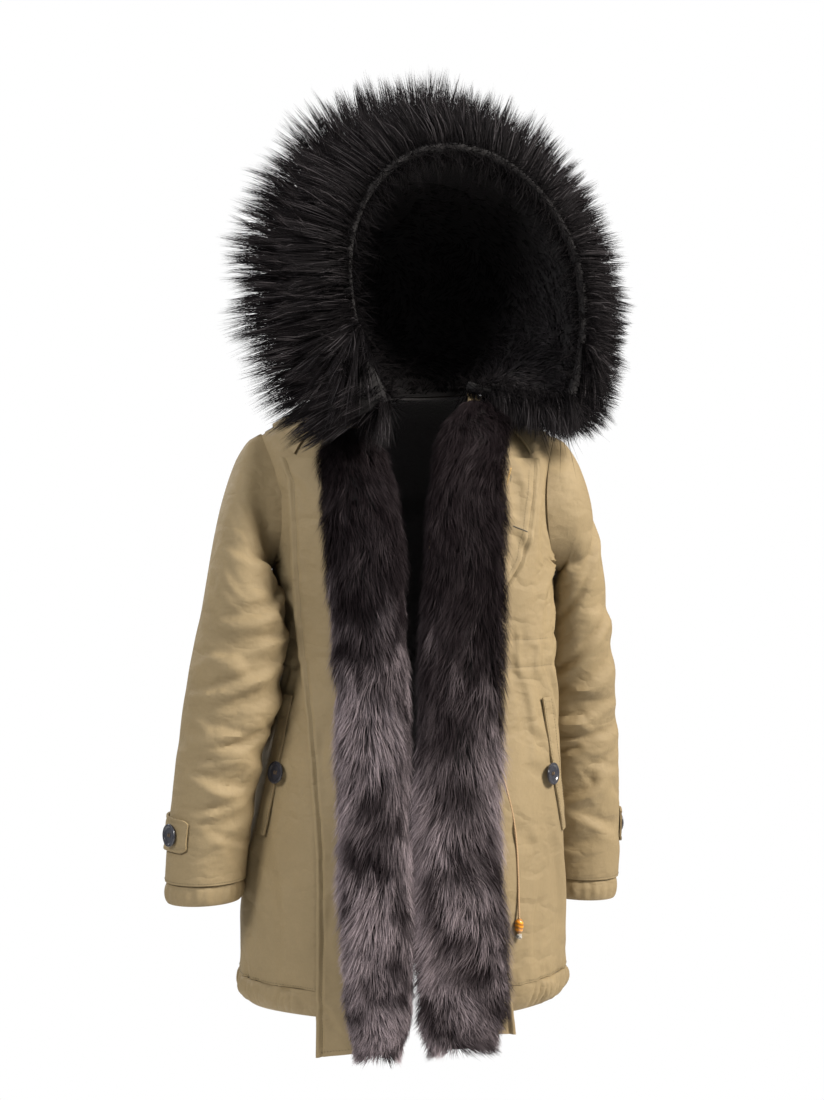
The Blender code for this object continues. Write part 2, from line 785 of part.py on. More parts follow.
def cuff_relief(u, v):
    plump = math.sin(math.pi * clamp(v)) ** 0.6
    return CUFF_BULGE * plump * (1.4 + 0.4 * math.sin(2 * math.pi * CUFF_GATHERS * u))


def tab_mapping(side):
    """Turns a tab's own u and v into the sleeve's. The end that shows has rounded corners."""
    tab = TABS[side]
    first, last = (tab["start"], tab["end"]) if side == "left" else (-tab["end"], -tab["start"])

    def mapping(u, v):
        from_end = (1 - u if side == "left" else u) * 9
        narrow = 0.10 * max(0.0, 1 - from_end) ** 2
        share = narrow + (1 - 2 * narrow) * v
        return (first + (last - first) * u) / 360, TAB_RUN[0] + (TAB_RUN[1] - TAB_RUN[0]) * share

    return mapping


def sleeve_spot(side, run, turn, lift):
    """The point and normal that far out from the sleeve's inner side, over its creases."""
    surface = sleeve_surface(side)
    u = math.radians(turn) / (2 * math.pi) * (1 if side == "left" else -1)
    normal = normal_of(surface, u, run)
    raised = sleeve_relief(side, 0.0, 1.0)(u, run)
    return surface(u, run) + normal * (lift + raised), normal


def add_sleeves():
    split = CUFF_SEAM_RUN
    around = [i / 20 for i in range(20)]
    cuff_around = [i / 27 for i in range(27)]
    for side in SIDES:
        wall(f"sleeve_{side}", sleeve_surface(side, 0.0, split), around, stations(22, 1.1),
             "olive cotton", relief=sleeve_relief(side, 0.0, split), closed=True)
        wall(f"cuff_hem_{side}", sleeve_surface(side, split + 0.0012, 1.0), cuff_around, stations(3),
             "olive cotton", relief=cuff_relief, lift=0.0010, closed=True)
        whole = sleeve_surface(side)
        mapping = tab_mapping(side)
        relief = sleeve_relief(side, 0.0, 1.0)
        wall(f"cuff_tab_{side}", lambda u, v: whole(*mapping(u, v)), stations(10), stations(4),
             "olive cotton", thickness=TAB_THICKNESS,
             lift=lambda u, v: CLOTH + LAY_GAP + 0.0004 + relief(*mapping(u, v)))


# ---------------------------------------------------------------- hood


def hood_axes():
    """The hood's own right, back and up, turned and leant together."""
    right = np.array((math.cos(HOOD_TURN), math.sin(HOOD_TURN), 0.0))
    level_back = np.array((-math.sin(HOOD_TURN), math.cos(HOOD_TURN), 0.0))
    upright = np.array((0.0, 0.0, 1.0))
    up = upright * math.cos(HOOD_LEAN) + level_back * math.sin(HOOD_LEAN)
    back = level_back * math.cos(HOOD_LEAN) - upright * math.sin(HOOD_LEAN)
    return right, back, up


def rim_point(turn):
    """The hood's front edge. The turn is 0 at the top and grows to the right."""
    right, back, up = hood_axes()
    below = math.cos(turn) < 0
    reach = signed_power(math.sin(turn), RIM_SQUARENESS if below else 1.0)
    height = math.cos(turn) * (RIM_DROP if below else RIM_RISE)
    sag = RIM_SAG * (1 - math.cos(turn)) / 2
    return RIM_CENTRE + right * RIM_HALF_WIDTH * reach + up * height - back * sag


def neck_seam_point(turn):
    """The seam runs from the front left corner round the nape to the front right corner."""
    angle = math.pi + turn / RIM_END * (math.pi - NECK_SEAM_END)
    depth = NECK_SEAM_FRONT if math.cos(angle) > 0 else NECK_SEAM_BACK
    x = -NECK_SEAM_HALF_WIDTH * math.sin(angle)
    height = NECK_SEAM_HEIGHT + NECK_SEAM_RISE * clamp(math.cos(angle) / math.cos(NECK_SEAM_END))
    return np.array((x, -depth * math.cos(angle), height))


def hood_point(u, v):
    """u runs left to right over the head and v from the front edge back to the neck seam."""
    turn = (2 * u - 1) * RIM_END
    right, back, up = hood_axes()
    start = rim_point(turn)
    end = neck_seam_point(turn)
    crown = math.cos(turn / 2) ** 2
    low = max(0.0, math.cos(turn) / math.cos(RIM_END)) ** 2
    outward = right * math.sin(turn) + up * math.cos(turn)
    away = unit(np.array((end[0], end[1], 0.0)))
    first = start + back * (0.05 + 0.19 * crown) + outward * 0.022
    second = end + away * (0.045 + 0.105 * crown) + up * (0.006 + 0.124 * crown)
    first += (start + (end - start) / 3 - up * 0.003 - first) * low
    second += (end + (start - end) / 3 - up * 0.003 - second) * low
    rest = 1 - v
    return start * rest**3 + first * 3 * v * rest**2 + second * 3 * v * v * rest + end * v**3


def hood_surface(u, v):
    """The same sheet as a viewer behind the hood sees it, so that its normal points out."""
    return hood_point(1 - u, v)


def ruff_ring(u, sides=12):
    """One cut across the ruff: its foot on the shell, then round through the tips of the hair."""
    foot = []
    for row in range(RUFF_BAND_ROWS + 1):
        place = row / (HOOD_ROWS - 1)
        normal = normal_of(hood_surface, 1 - u, place)
        foot.append(hood_point(u, place) + normal * (CLOTH + LAY_GAP + 2 * FACET_EASE))
    turn = (2 * u - 1) * RIM_END * (RUFF_DROOP - RUFF_LEFT_RISE * clamp(1 - u / 0.16) ** 1.5)
    right, back, up = hood_axes()
    outward = unit(right * math.sin(turn) + up * math.cos(turn))
    full = min(1.0, 0.78 + 6 * min(u, 1 - u))
    tuft = 1 + 0.03 * math.sin(17 * u * math.pi) + 0.02 * math.sin(29 * u * math.pi + 1)
    reach = RUFF.at("reach", u) * full * tuft
    centre = (foot[0] + foot[-1]) / 2
    spread = unit(foot[-1] - foot[0])
    arc = []
    steps = sides - len(foot)
    for i in range(steps):
        sweep = math.pi * (i + 0.5) / steps
        direction = spread * math.cos(sweep) * 0.62 + outward * math.sin(sweep)
        arc.append(centre + direction * reach - back * 0.016 * math.sin(sweep) * full)
    return foot + arc


def add_hood():
    us = stations(HOOD_COLUMNS)
    vs = stations(HOOD_ROWS)
    wall("hood_shell", hood_surface, us, vs, "olive cotton")
    wall("hood_lining", hood_surface, us, vs, "hood fur", thickness=LINING_THICKNESS,
         lift=-LINING_THICKNESS - SEAM_GAP)
    cuts = 2 * (HOOD_COLUMNS - 1)
    pad("hood_ruff", [ruff_ring(0.008 + 0.984 * i / cuts) for i in range(cuts + 1)], "hood fur")


# ---------------------------------------------------------------- trims


def welt_surface(side):
    top, bottom = (np.array(WELTS[side][end]) for end in ("top", "bottom"))

    def surface(u, v):
        x, height = top + (bottom - top) * v
        return front_spot(x, height, 0.0, (u - 0.5) * WELT_WIDTH)[0]

    return surface


def add_button(name, place, normal):
    radius, thickness = BUTTON_RADIUS, BUTTON_THICKNESS
    profile = (
        (0.0, 0.52 * thickness),
        (0.66 * radius, 0.52 * thickness),
        (0.76 * radius, 0.86 * thickness),
        (0.88 * radius, thickness),
        (radius, 0.72 * thickness),
        (0.97 * radius, 0.2 * thickness),
        (0.84 * radius, 0.0),
        (0.0, 0.0),
    )
    turned(name, profile, 18, place, normal, "horn button")


def add_trims():
    for side in SIDES:
        wall(f"pocket_welt_{side}", welt_surface(side), stations(3), stations(10), "olive cotton",
             thickness=WELT_THICKNESS, lift=CLOTH + LAY_GAP + 0.0002)
        x, height = WELTS[side]["button"]
        lift = CLOTH + 2 * LAY_GAP + WELT_THICKNESS + 0.0002
        add_button(f"pocket_button_{side}", *front_spot(x, height, lift))
        lift = CLOTH + 2 * LAY_GAP + TAB_THICKNESS + 0.0002
        add_button(f"cuff_button_{side}", *sleeve_spot(side, sum(TAB_RUN) / 2, TABS[side]["button"], lift))


def smooth_route(route, count):
    """Points at even steps of a smooth curve through the route's points."""
    points = [np.array(p) for p in route]
    points = [2 * points[0] - points[1], *points, 2 * points[-1] - points[-2]]
    found = []
    for k in range(count):
        at = k / (count - 1) * (len(route) - 1)
        i = min(int(at), len(route) - 2)
        t = at - i
        a, b, c, d = points[i:i + 4]
        found.append(0.5 * (2 * b + (c - a) * t + (2 * a - 5 * b + 4 * c - d) * t**2
                            + (3 * b - a - 3 * c + d) * t**3))
    return found


def add_cord():
    """The cord hangs from the fur's edge, runs through its bead and ends in a knot below it."""
    end = np.array(CORD_ROUTE[-1])
    down = np.array((0.0, 0.0, -1.0))
    half = BEAD_HEIGHT / 2
    bead = end + down * (half + LAY_GAP / 2)
    knot = bead + down * (half + KNOT_RADIUS + LAY_GAP / 2)
    points = [(point, 1.0) for point in smooth_route(CORD_ROUTE, 25)]
    points += [(bead + down * half * k, 1.0) for k in (0.0, 0.9)]
    for turn in np.linspace(0.45, 3.0, 8):
        swell = KNOT_RADIUS * math.sin(turn) / (CORD_DIAMETER / 2)
        points.append((knot - down * KNOT_RADIUS * math.cos(turn), swell))
    curve = bpy.data.curves.new("drawcord", "CURVE")
    curve.dimensions = "3D"
    curve.bevel_depth = CORD_DIAMETER / 2
    curve.bevel_resolution = 2
    curve.use_fill_caps = True
    spline = curve.splines.new("POLY")
    spline.points.add(len(points) - 1)
    for place, (point, swell) in zip(spline.points, points):
        place.co = (*map(float, point), 1.0)
        place.radius = float(swell)
    add_object("drawcord", curve, "tan cord")
    bore = CORD_DIAMETER / 2 + 0.0004
    start = 0.37
    profile = [(BEAD_RADIUS * math.sin(t) ** 0.8, half * math.cos(t) / math.cos(start))
               for t in np.linspace(start, math.pi - start, 9)]
    profile += [(bore, -half), (bore, half)]
    turned("cord_bead", profile, 16, bead, -down, "amber wood", bored=True)


def make_parka():
    for obj in list(bpy.data.objects):
        bpy.data.objects.remove(obj)
    parts = bpy.data.collections.new("Parka")
    bpy.context.scene.collection.children.link(parts)
    add_body()
    add_collar()
    add_lapels()
    add_sleeves()
    add_hood()
    add_trims()
    add_cord()


make_parka()
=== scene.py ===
"""Fur trimmed parka: its cloth, fur, stitching and trims, in its worn form on a pale floor.

Metres, +Z up. The garment faces -Y, and left and right are those of someone who looks at its front.
Each operator in the sidebar makes one piece or group of like pieces; main() runs them in order.
"""

import math

import bpy
import numpy as np
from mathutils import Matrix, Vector


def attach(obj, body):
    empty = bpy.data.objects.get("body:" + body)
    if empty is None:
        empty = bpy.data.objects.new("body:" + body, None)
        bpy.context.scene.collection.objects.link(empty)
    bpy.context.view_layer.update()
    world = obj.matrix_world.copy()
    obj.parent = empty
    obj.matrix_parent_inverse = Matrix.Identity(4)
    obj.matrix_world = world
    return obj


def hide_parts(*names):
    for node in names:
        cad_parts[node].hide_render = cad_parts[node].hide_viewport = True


bl_info = {
    "name": "Fur Trimmed Parka",
    "version": (1, 0, 0),
    "blender": (4, 5, 0),
    "location": "View3D > Sidebar > Parka",
    "description": "Builds a worn parka with its fur, stitching and trims",
    "category": "Add Mesh",
}

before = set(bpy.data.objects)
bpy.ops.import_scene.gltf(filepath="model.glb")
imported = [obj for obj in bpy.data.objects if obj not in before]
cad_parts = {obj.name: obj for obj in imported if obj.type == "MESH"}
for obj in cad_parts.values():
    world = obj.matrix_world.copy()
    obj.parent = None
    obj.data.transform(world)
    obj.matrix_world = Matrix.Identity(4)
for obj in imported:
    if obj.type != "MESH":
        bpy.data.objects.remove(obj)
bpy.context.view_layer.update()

# Camera
VIEW_AZIMUTH = math.radians(-6)
VIEW_TARGET = Vector((0.0, -0.05, -0.194))
VIEW_DISTANCE = 2.25
VIEW_LENS = 58.9

FLOOR_LEVEL = -1.5
FLOOR_RADIUS = 1.9
FLOOR_CORNERS = 64
WHITE = (1.0, 1.0, 1.0, 1.0)
SKY_LIGHT = 0.30

# Each lamp's name, place, size, power in watts and colour.
LIGHTS = (
    ("key", (2.5, -1.5, 1.6), 1.0, 262, (1.0, 0.95, 0.88)),
    ("fill", (-1.9, -2.0, 1.2), 0.9, 74, WHITE[:3]),
    ("top", (0.3, 0.1, 2.4), 1.2, 30, WHITE[:3]),
    ("back", (-1.6, 2.4, 1.2), 1.4, 40, WHITE[:3]),
)

# Cloth and clearances
CLOTH = 0.0026
TAPE = 0.0010
SEAM_GAP = 0.0006
LAY_GAP = 0.0006
FACET_EASE = 0.0012
FOLD_ROOM = 1.02
LEAST_CUT_SHARE = 0.31

# Body
SIDE_SEAM = math.radians(90)
SQUARENESS = 0.9
NECK_HALF_WIDTH = 0.078
SHOULDER_HALF_WIDTH = 0.186
SHOULDER_DROP = 0.052
SHOULDER_ROLL_DEPTH = 0.13
NAPE_DEPTH_SHARE = 0.55
ARMHOLE_CENTRE = -0.131
ARMHOLE_HALF_HEIGHT = 0.082
ARMHOLE_CUT_FRONT = math.radians(27)
ARMHOLE_CUT_BACK = math.radians(23)
PANEL_HEM = -0.7215
CASING_TOP = -0.7221
CASING_BOTTOM = -0.753
CASING_BULGE = 0.0030
CASING_GATHER = 0.0030
CASING_GATHERS_ROUND = 34
CASING_COVERED = 0.46
WAIST = -0.320
WAIST_ROWS = (-0.304, -0.338)
WAIST_REACH = 0.035
WAIST_GATHER = 0.0013
WAIST_GATHERS_ROUND = 15
WAIST_PUCKER = 0.0027
WAIST_PUCKER_REACH = 0.014
WAIST_PUFF = 0.0024
STITCH_GROOVE = 0.0015
STITCH_GROOVE_WIDTH = 0.0035
HEM_PUCKER = 0.0030
HEM_GATHER = 0.0026
BODY_EASE = 0.0022
LEAST_RELIEF = 0.0003
TOP_ROWS = (0.0, 0.0012, 0.004)
HEM_TAPE = (-0.709, -0.733)
HEM_STITCH = 0.9965
LINE_POINTS = 60
DRAPE = 0.0018
DRAPES_ROUND = 7
BODY_RADIUS = 0.18

# Collar
COLLAR_INNER = (0.092, 0.062, 0.074)
COLLAR_OUTER = (0.168, 0.124, 0.112)
COLLAR_END = math.radians(50)
COLLAR_SLANT = math.radians(8)

# Sleeves
SLEEVE_EASE = 0.0028
ARMHOLE_LIFT = 0.0008
CUFF_SEAM_RUN = 0.955
CUFF_BULGE = 0.0022
CUFF_GATHERS = 9

# Hood
HOOD_TURN = math.radians(20)
HOOD_LEAN = math.radians(6)
RIM_CENTRE = np.array((0.062, -0.088, 0.126))
RIM_HALF_WIDTH = 0.166
RIM_RISE = 0.184
RIM_DROP = 0.205
RIM_SQUARENESS = 0.8
RIM_END = math.radians(137)
RIM_SAG = 0.020
NECK_SEAM_HALF_WIDTH = 0.086
NECK_SEAM_FRONT = 0.085
NECK_SEAM_BACK = 0.076
NECK_SEAM_END = math.radians(54)
NECK_SEAM_HEIGHT = 0.0046
NECK_SEAM_RISE = 0.0045
RUFF_BAND = 3 / 11
RUFF_DROOP = 1.04
RUFF_LEFT_RISE = 0.16
RUFF_LEFT_SHARE = 0.16
RUFF_FLATTEN = 0.62
RUFF_SWEEP_LENGTH = 0.05
HOOD_WIDTH = 0.9
HOOD_DEPTH = 0.4
OPENING_LENGTH = 0.95
BORDER_RADIUS = 0.0060
BORDER_SPOTS = 240

# Lapels
LAPEL_TOP = -0.084
LAPEL_LIFT = CLOTH + LAY_GAP + 1.6 * FACET_EASE
LAPEL_STITCH = 0.0056
LAPEL_SECOND_STITCH = 0.0126
LAPEL_GROOVE = 0.0020
LAPEL_GROOVE_WIDTH = 0.0017
LAPEL_SWING = 0.0055
LAPEL_SWING_FROM = -0.60
LAPEL_BOTTOMS = {"left": (-0.797, -0.782), "right": (-0.776, -0.765)}
FUR_TOPS = {"left": -0.052, "right": -0.018}
FUR_BOTTOMS = {"left": -0.792, "right": -0.788}

# Trims: places on a front are (x, height)
BUTTON_RADIUS = 0.0138
BUTTON_THICKNESS = 0.0042
WELT_WIDTH = 0.020
WELT_THICKNESS = 0.0022
WELTS = {
    "left": dict(top=(-0.151, -0.374), bottom=(-0.183, -0.545), button=(-0.1624, -0.468)),
    "right": dict(top=(0.161, -0.378), bottom=(0.184, -0.546), button=(0.1635, -0.472)),
}
TAB_RUN = (0.806, 0.884)
TAB_THICKNESS = 0.0026
TABS = {
    "left": dict(start=-40, end=60, button=33),
    "right": dict(start=-75, end=8, button=-18),
}
ZIP_WIDTH = 0.006
CORD_DIAMETER = 0.0028
BEAD_RADIUS = 0.0055
BEAD_HEIGHT = 0.017
KNOT_RADIUS = 0.0038
SIDES = {"left": -1, "right": 1}
WHOLE_TURN = 2 * math.pi
RUFF_PIECE = ("ruff_fur", "hood_ruff")

# The seed of each random draw and of each field of uneven values.
SEED = dict(
    knot=7, creases=5, waist=11, casing=12, hem=14, gathers=21, slants=22, wander=23, valleys=24,
    collar=25, welt=27, lapel_pucker=31, lapel=33, sleeve_creases=40, sleeve=61, facing=70,
    swirl=81, curl=83, hill=85, patch=87, lock=89, ruff=90, fleck=91, ruff_flow=94, ruff_bend=95,
    ruff_reach=96, ragged=97, border=99, lining=110, lining_swirl=112, ruff_end=120,
    hood_creases=130, hood=131,
)


class Table:
    """Rows of named columns, read at any place along the first column by a smooth curve."""

    def __init__(self, names, *rows):
        self.names = names
        self.rows = np.array(sorted(rows), float)

    def at(self, name, where):
        places = self.rows[:, 0]
        values = self.rows[:, self.names.index(name)]
        steps = np.diff(values) / np.diff(places)
        turns = steps[:-1] * steps[1:]
        middle = np.where(turns > 0, 2 * turns / np.where(turns > 0, steps[:-1] + steps[1:], 1), 0)
        slopes = np.concatenate((steps[:1], middle, steps[-1:]))
        where = np.clip(where, places[0], places[-1])
        i = np.clip(np.searchsorted(places, where) - 1, 0, len(places) - 2)
        span = places[i + 1] - places[i]
        t = (where - places[i]) / span
        return (
            (2 * t**3 - 3 * t**2 + 1) * values[i]
            + (t**3 - 2 * t**2 + t) * slopes[i] * span
            + (3 * t**2 - 2 * t**3) * values[i + 1]
            + (t**3 - t**2) * slopes[i + 1] * span
        )


BODY = Table(
    ("height", "centre", "half_width", "front", "back"),
    (0.02, 0.000, 0.186, 0.112, 0.104),
    (-0.06, 0.000, 0.186, 0.118, 0.110),
    (-0.13, 0.002, 0.181, 0.126, 0.116),
    (-0.21, 0.006, 0.175, 0.128, 0.114),
    (-0.32, 0.011, 0.171, 0.122, 0.106),
    (-0.39, 0.008, 0.178, 0.128, 0.112),
    (-0.47, 0.002, 0.187, 0.137, 0.126),
    (-0.57, -0.004, 0.195, 0.145, 0.136),
    (-0.66, -0.007, 0.200, 0.149, 0.141),
    (-0.76, -0.008, 0.200, 0.150, 0.142),
)

# The front edge of each panel, where it turns back as a lapel, and the lapel's free edge.
LAPELS = Table(
    ("height", "left_fold", "left_edge", "right_fold", "right_edge"),
    (0.01, -0.080, -0.170, 0.076, 0.150),
    (-0.03, -0.068, -0.167, 0.058, 0.149),
    (-0.07, -0.052, -0.160, 0.034, 0.149),
    (-0.12, -0.044, -0.148, 0.018, 0.144),
    (-0.20, -0.038, -0.143, 0.012, 0.131),
    (-0.26, -0.034, -0.139, 0.009, 0.098),
    (-0.35, -0.030, -0.1305, 0.006, 0.084),
    (-0.46, -0.026, -0.123, 0.005, 0.080),
    (-0.57, -0.024, -0.1175, 0.005, 0.084),
    (-0.70, -0.022, -0.1165, 0.006, 0.098),
    (-0.80, -0.022, -0.1165, 0.006, 0.108),
)

# The two fur facings: their edges and how far the pile stands from the lapel.
FURS = Table(
    ("height", "left_out", "left_in", "right_in", "right_out", "pile"),
    (0.02, -0.090, -0.060, 0.046, 0.114, 0.020),
    (-0.02, -0.106, -0.050, 0.034, 0.118, 0.026),
    (-0.06, -0.114, -0.042, 0.022, 0.111, 0.029),
    (-0.09, -0.114, -0.035, 0.016, 0.104, 0.029),
    (-0.125, -0.112, -0.027, 0.011, 0.098, 0.029),
    (-0.16, -0.109, -0.021, 0.008, 0.101, 0.030),
    (-0.20, -0.106, -0.017, 0.006, 0.101, 0.030),
    (-0.30, -0.098, -0.014, 0.000, 0.101, 0.030),
    (-0.38, -0.093, -0.012, -0.004, 0.099, 0.030),
    (-0.56, -0.090, -0.012, -0.007, 0.093, 0.031),
    (-0.68, -0.084, -0.010, -0.005, 0.097, 0.031),
    (-0.74, -0.082, -0.012, -0.004, 0.095, 0.028),
    (-0.80, -0.070, -0.030, 0.012, 0.078, 0.016),
)

# Each sleeve below the armhole, as its outer and inner line seen from the front.
SLEEVE_NAMES = ("run", "outer_x", "outer_z", "inner_x", "inner_z", "centre_y", "half_depth")
SLEEVES = {
    "left": Table(
        SLEEVE_NAMES,
        (0.06, 0.208, -0.064, 0.1845, -0.218, -0.008, 0.062),
        (0.14, 0.223, -0.110, 0.1795, -0.228, -0.024, 0.061),
        (0.24, 0.238, -0.175, 0.1705, -0.243, -0.044, 0.059),
        (0.36, 0.253, -0.262, 0.1625, -0.294, -0.062, 0.057),
        (0.50, 0.271, -0.352, 0.1705, -0.364, -0.066, 0.056),
        (0.64, 0.282, -0.430, 0.189, -0.435, -0.064, 0.053),
        (0.78, 0.291, -0.506, 0.204, -0.506, -0.060, 0.050),
        (0.90, 0.297, -0.569, 0.212, -0.566, -0.056, 0.047),
        (1.00, 0.300, -0.626, 0.217, -0.622, -0.054, 0.045),
    ),
    "right": Table(
        SLEEVE_NAMES,
        (0.06, 0.208, -0.064, 0.196, -0.218, 0.004, 0.062),
        (0.14, 0.225, -0.110, 0.199, -0.226, 0.012, 0.062),
        (0.24, 0.241, -0.175, 0.194, -0.243, 0.026, 0.061),
        (0.36, 0.259, -0.262, 0.189, -0.298, 0.044, 0.059),
        (0.50, 0.273, -0.358, 0.186, -0.371, 0.064, 0.056),
        (0.64, 0.281, -0.442, 0.187, -0.448, 0.078, 0.053),
        (0.78, 0.285, -0.524, 0.192, -0.526, 0.088, 0.050),
        (0.90, 0.287, -0.595, 0.197, -0.593, 0.094, 0.047),
        (1.00, 0.285, -0.658, 0.198, -0.654, 0.098, 0.045),
    ),
}

# Soft troughs pressed into a sleeve: place along it, place round it, reach of each, slant, depth.
SLEEVE_CREASES = {
    "left": (
        (0.20, 150, 0.020, 34, 0.05, -0.0040), (0.27, 120, 0.022, 46, -0.06, -0.0045),
        (0.33, 165, 0.020, 42, 0.06, -0.0040), (0.43, 95, 0.024, 60, 0.05, -0.0050),
        (0.50, 150, 0.022, 52, -0.05, -0.0050), (0.57, 90, 0.024, 58, -0.07, -0.0055),
        (0.64, 140, 0.022, 52, 0.05, -0.0045), (0.71, 100, 0.022, 50, 0.07, -0.0040),
        (0.80, 125, 0.022, 48, -0.08, -0.0030), (0.47, 280, 0.024, 50, 0.05, -0.0045),
        (0.60, 255, 0.024, 56, -0.05, -0.0050), (0.72, 285, 0.022, 46, 0.06, -0.0035),
    ),
    "right": (
        (0.22, 40, 0.020, 40, 0.06, -0.0035), (0.36, 35, 0.022, 46, -0.05, -0.0040),
        (0.47, 60, 0.024, 56, 0.05, -0.0045), (0.55, 100, 0.024, 58, -0.05, -0.0050),
        (0.62, 55, 0.022, 50, 0.06, -0.0045), (0.71, 85, 0.024, 54, 0.09, -0.0045),
        (0.82, 60, 0.022, 46, -0.08, -0.0035), (0.46, 250, 0.024, 50, 0.05, -0.0045),
        (0.58, 285, 0.024, 56, -0.05, -0.0050), (0.70, 250, 0.022, 46, 0.06, -0.0035),
    ),
}

# How far the ruff's hair reaches from its foot, round the opening from its left end to its right.
RUFF = Table(
    ("round", "reach"),
    (0.00, 0.150),
    (0.06, 0.146),
    (0.12, 0.138),
    (0.20, 0.130),
    (0.38, 0.122),
    (0.55, 0.116),
    (0.75, 0.090),
    (0.90, 0.068),
    (1.00, 0.070),
)

ZIP_LINE = Table(
    ("height", "x"),
    (-0.150, 0.1010),
    (-0.1275, 0.1045),
    (-0.0875, 0.1165),
    (-0.050, 0.1240),
)

CORD_ROUTE = (
    (0.0965, -0.1278, -0.4600), (0.1040, -0.1266, -0.4740),
    (0.1105, -0.1252, -0.4960), (0.1160, -0.1246, -0.5200),
    (0.1196, -0.1256, -0.5500), (0.1214, -0.1270, -0.5860),
    (0.1216, -0.1300, -0.6160), (0.1214, -0.1348, -0.6400),
)

# Creases of the body: place round it, height, half length, half width, slant in degrees, depth.
BODY_CREASES = (
    (0.245, -0.225, 0.050, 0.010, 62, -0.0030), (0.215, -0.245, 0.042, 0.009, 48, -0.0022),
    (0.262, -0.285, 0.030, 0.008, 30, -0.0020), (0.190, -0.150, 0.060, 0.012, 78, -0.0020),
    (0.225, -0.375, 0.034, 0.008, -58, -0.0020), (0.190, -0.400, 0.048, 0.010, -66, -0.0022),
    (0.130, -0.390, 0.050, 0.009, -76, -0.0018), (0.160, -0.430, 0.030, 0.007, -40, -0.0014),
    (0.205, -0.610, 0.070, 0.013, -82, -0.0022), (0.150, -0.650, 0.055, 0.010, 80, -0.0016),
    (-0.235, -0.240, 0.050, 0.010, -60, -0.0028), (-0.205, -0.270, 0.036, 0.008, -42, -0.0020),
    (-0.195, -0.370, 0.040, 0.009, 62, -0.0020), (-0.230, -0.400, 0.045, 0.009, 70, -0.0020),
    (-0.215, -0.590, 0.080, 0.013, 84, -0.0024), (-0.165, -0.640, 0.060, 0.010, -80, -0.0016),
    (0.400, -0.215, 0.060, 0.011, -55, -0.0028), (0.470, -0.255, 0.050, 0.010, -35, -0.0022),
    (0.540, -0.150, 0.060, 0.013, 4, -0.0018), (-0.420, -0.225, 0.060, 0.011, 52, -0.0028),
    (-0.480, -0.270, 0.046, 0.010, 32, -0.0022), (-0.540, -0.120, 0.050, 0.012, -6, -0.0016),
    (0.440, -0.390, 0.060, 0.011, 72, -0.0022), (0.520, -0.420, 0.070, 0.012, 84, -0.0022),
    (-0.400, -0.400, 0.060, 0.011, -70, -0.0022), (-0.500, -0.440, 0.080, 0.013, -82, -0.0024),
    (0.380, -0.600, 0.080, 0.013, 80, -0.0022), (-0.360, -0.610, 0.075, 0.013, -84, -0.0022),
)


# ---------------------------------------------------------------- shared maths


def unit(vector):
    return vector / np.maximum(np.linalg.norm(vector, axis=-1, keepdims=True), 1e-12)


def point_of(x, y, z):
    return np.stack(np.broadcast_arrays(x, y, z), axis=-1).astype(float)


def signed_power(value, power):
    return np.sign(value) * np.abs(value) ** power


def smooth(value):
    value = np.clip(value, 0.0, 1.0)
    return value * value * (3 - 2 * value)


def bell(value):
    return np.exp(-np.square(value))


def travel_of(line):
    """How far along a line each of its points lies."""
    return np.concatenate(([0], np.cumsum(np.linalg.norm(np.diff(line, axis=0), axis=1))))


def on_line(where, travel, line):
    """The points that far along a line."""
    return np.stack([np.interp(where, travel, line[:, k]) for k in range(3)], axis=-1)


def joined(parts):
    """Several pairs of points and faces as one pair."""
    faces, first = [], 0
    for points, part_faces in parts:
        faces.append(part_faces + first)
        first += len(points)
    return np.concatenate([points for points, _ in parts]), np.concatenate(faces)


def normal_of(surface, u, v, step=1e-3):
    """The surface's outward normal. Seen from outside, u runs to the right and v downwards."""
    across = surface(u + step, v) - surface(u - step, v)
    down = surface(u, v + step) - surface(u, v - step)
    return unit(np.cross(down, across))


def drift(across, along, seed, cell):
    """Smooth values from -1 to 1 that change over about one cell."""
    lattice = np.random.default_rng(seed).uniform(-1, 1, (64, 64))
    a, b = np.asarray(across) / cell + 17.3, np.asarray(along) / cell + 29.1
    i, j = np.floor(a).astype(int), np.floor(b).astype(int)
    s, t = smooth(a - i), smooth(b - j)

    def corner(m, n):
        return lattice[(i + m) % 64, (j + n) % 64]

    low = corner(0, 0) * (1 - s) + corner(1, 0) * s
    high = corner(0, 1) * (1 - s) + corner(1, 1) * s
    return low * (1 - t) + high * t


def pressed(rows, across, along):
    """What soft troughs, each with a low ridge beside it, add at that place of a cloth."""
    total = np.zeros(np.broadcast(across, along).shape)
    for middle, level, length, width, slant, depth in rows:
        turn = math.radians(slant)
        da, db = across - middle, along - level
        run = (da * math.cos(turn) + db * math.sin(turn)) / length
        side = (db * math.cos(turn) - da * math.sin(turn)) / width + 0.8 * run * run
        total += depth * bell(run) * (bell(side) - 0.6 * bell(side - 1.7))
    return total


def crumple_rows(seed, count, box, length, width, depth):
    """Small creases strewn over a box of (across from, across to, along from, along to)."""
    rng = np.random.default_rng(seed)
    low_a, high_a, low_b, high_b = box
    return [
        (
            rng.uniform(low_a, high_a),
            rng.uniform(low_b, high_b),
            length * rng.uniform(0.6, 1.5),
            width * rng.uniform(0.7, 1.4),
            rng.uniform(-70, 70),
            -depth * rng.uniform(0.4, 1.2),
        )
        for _ in range(count)
    ]


# ---------------------------------------------------------------- finishes


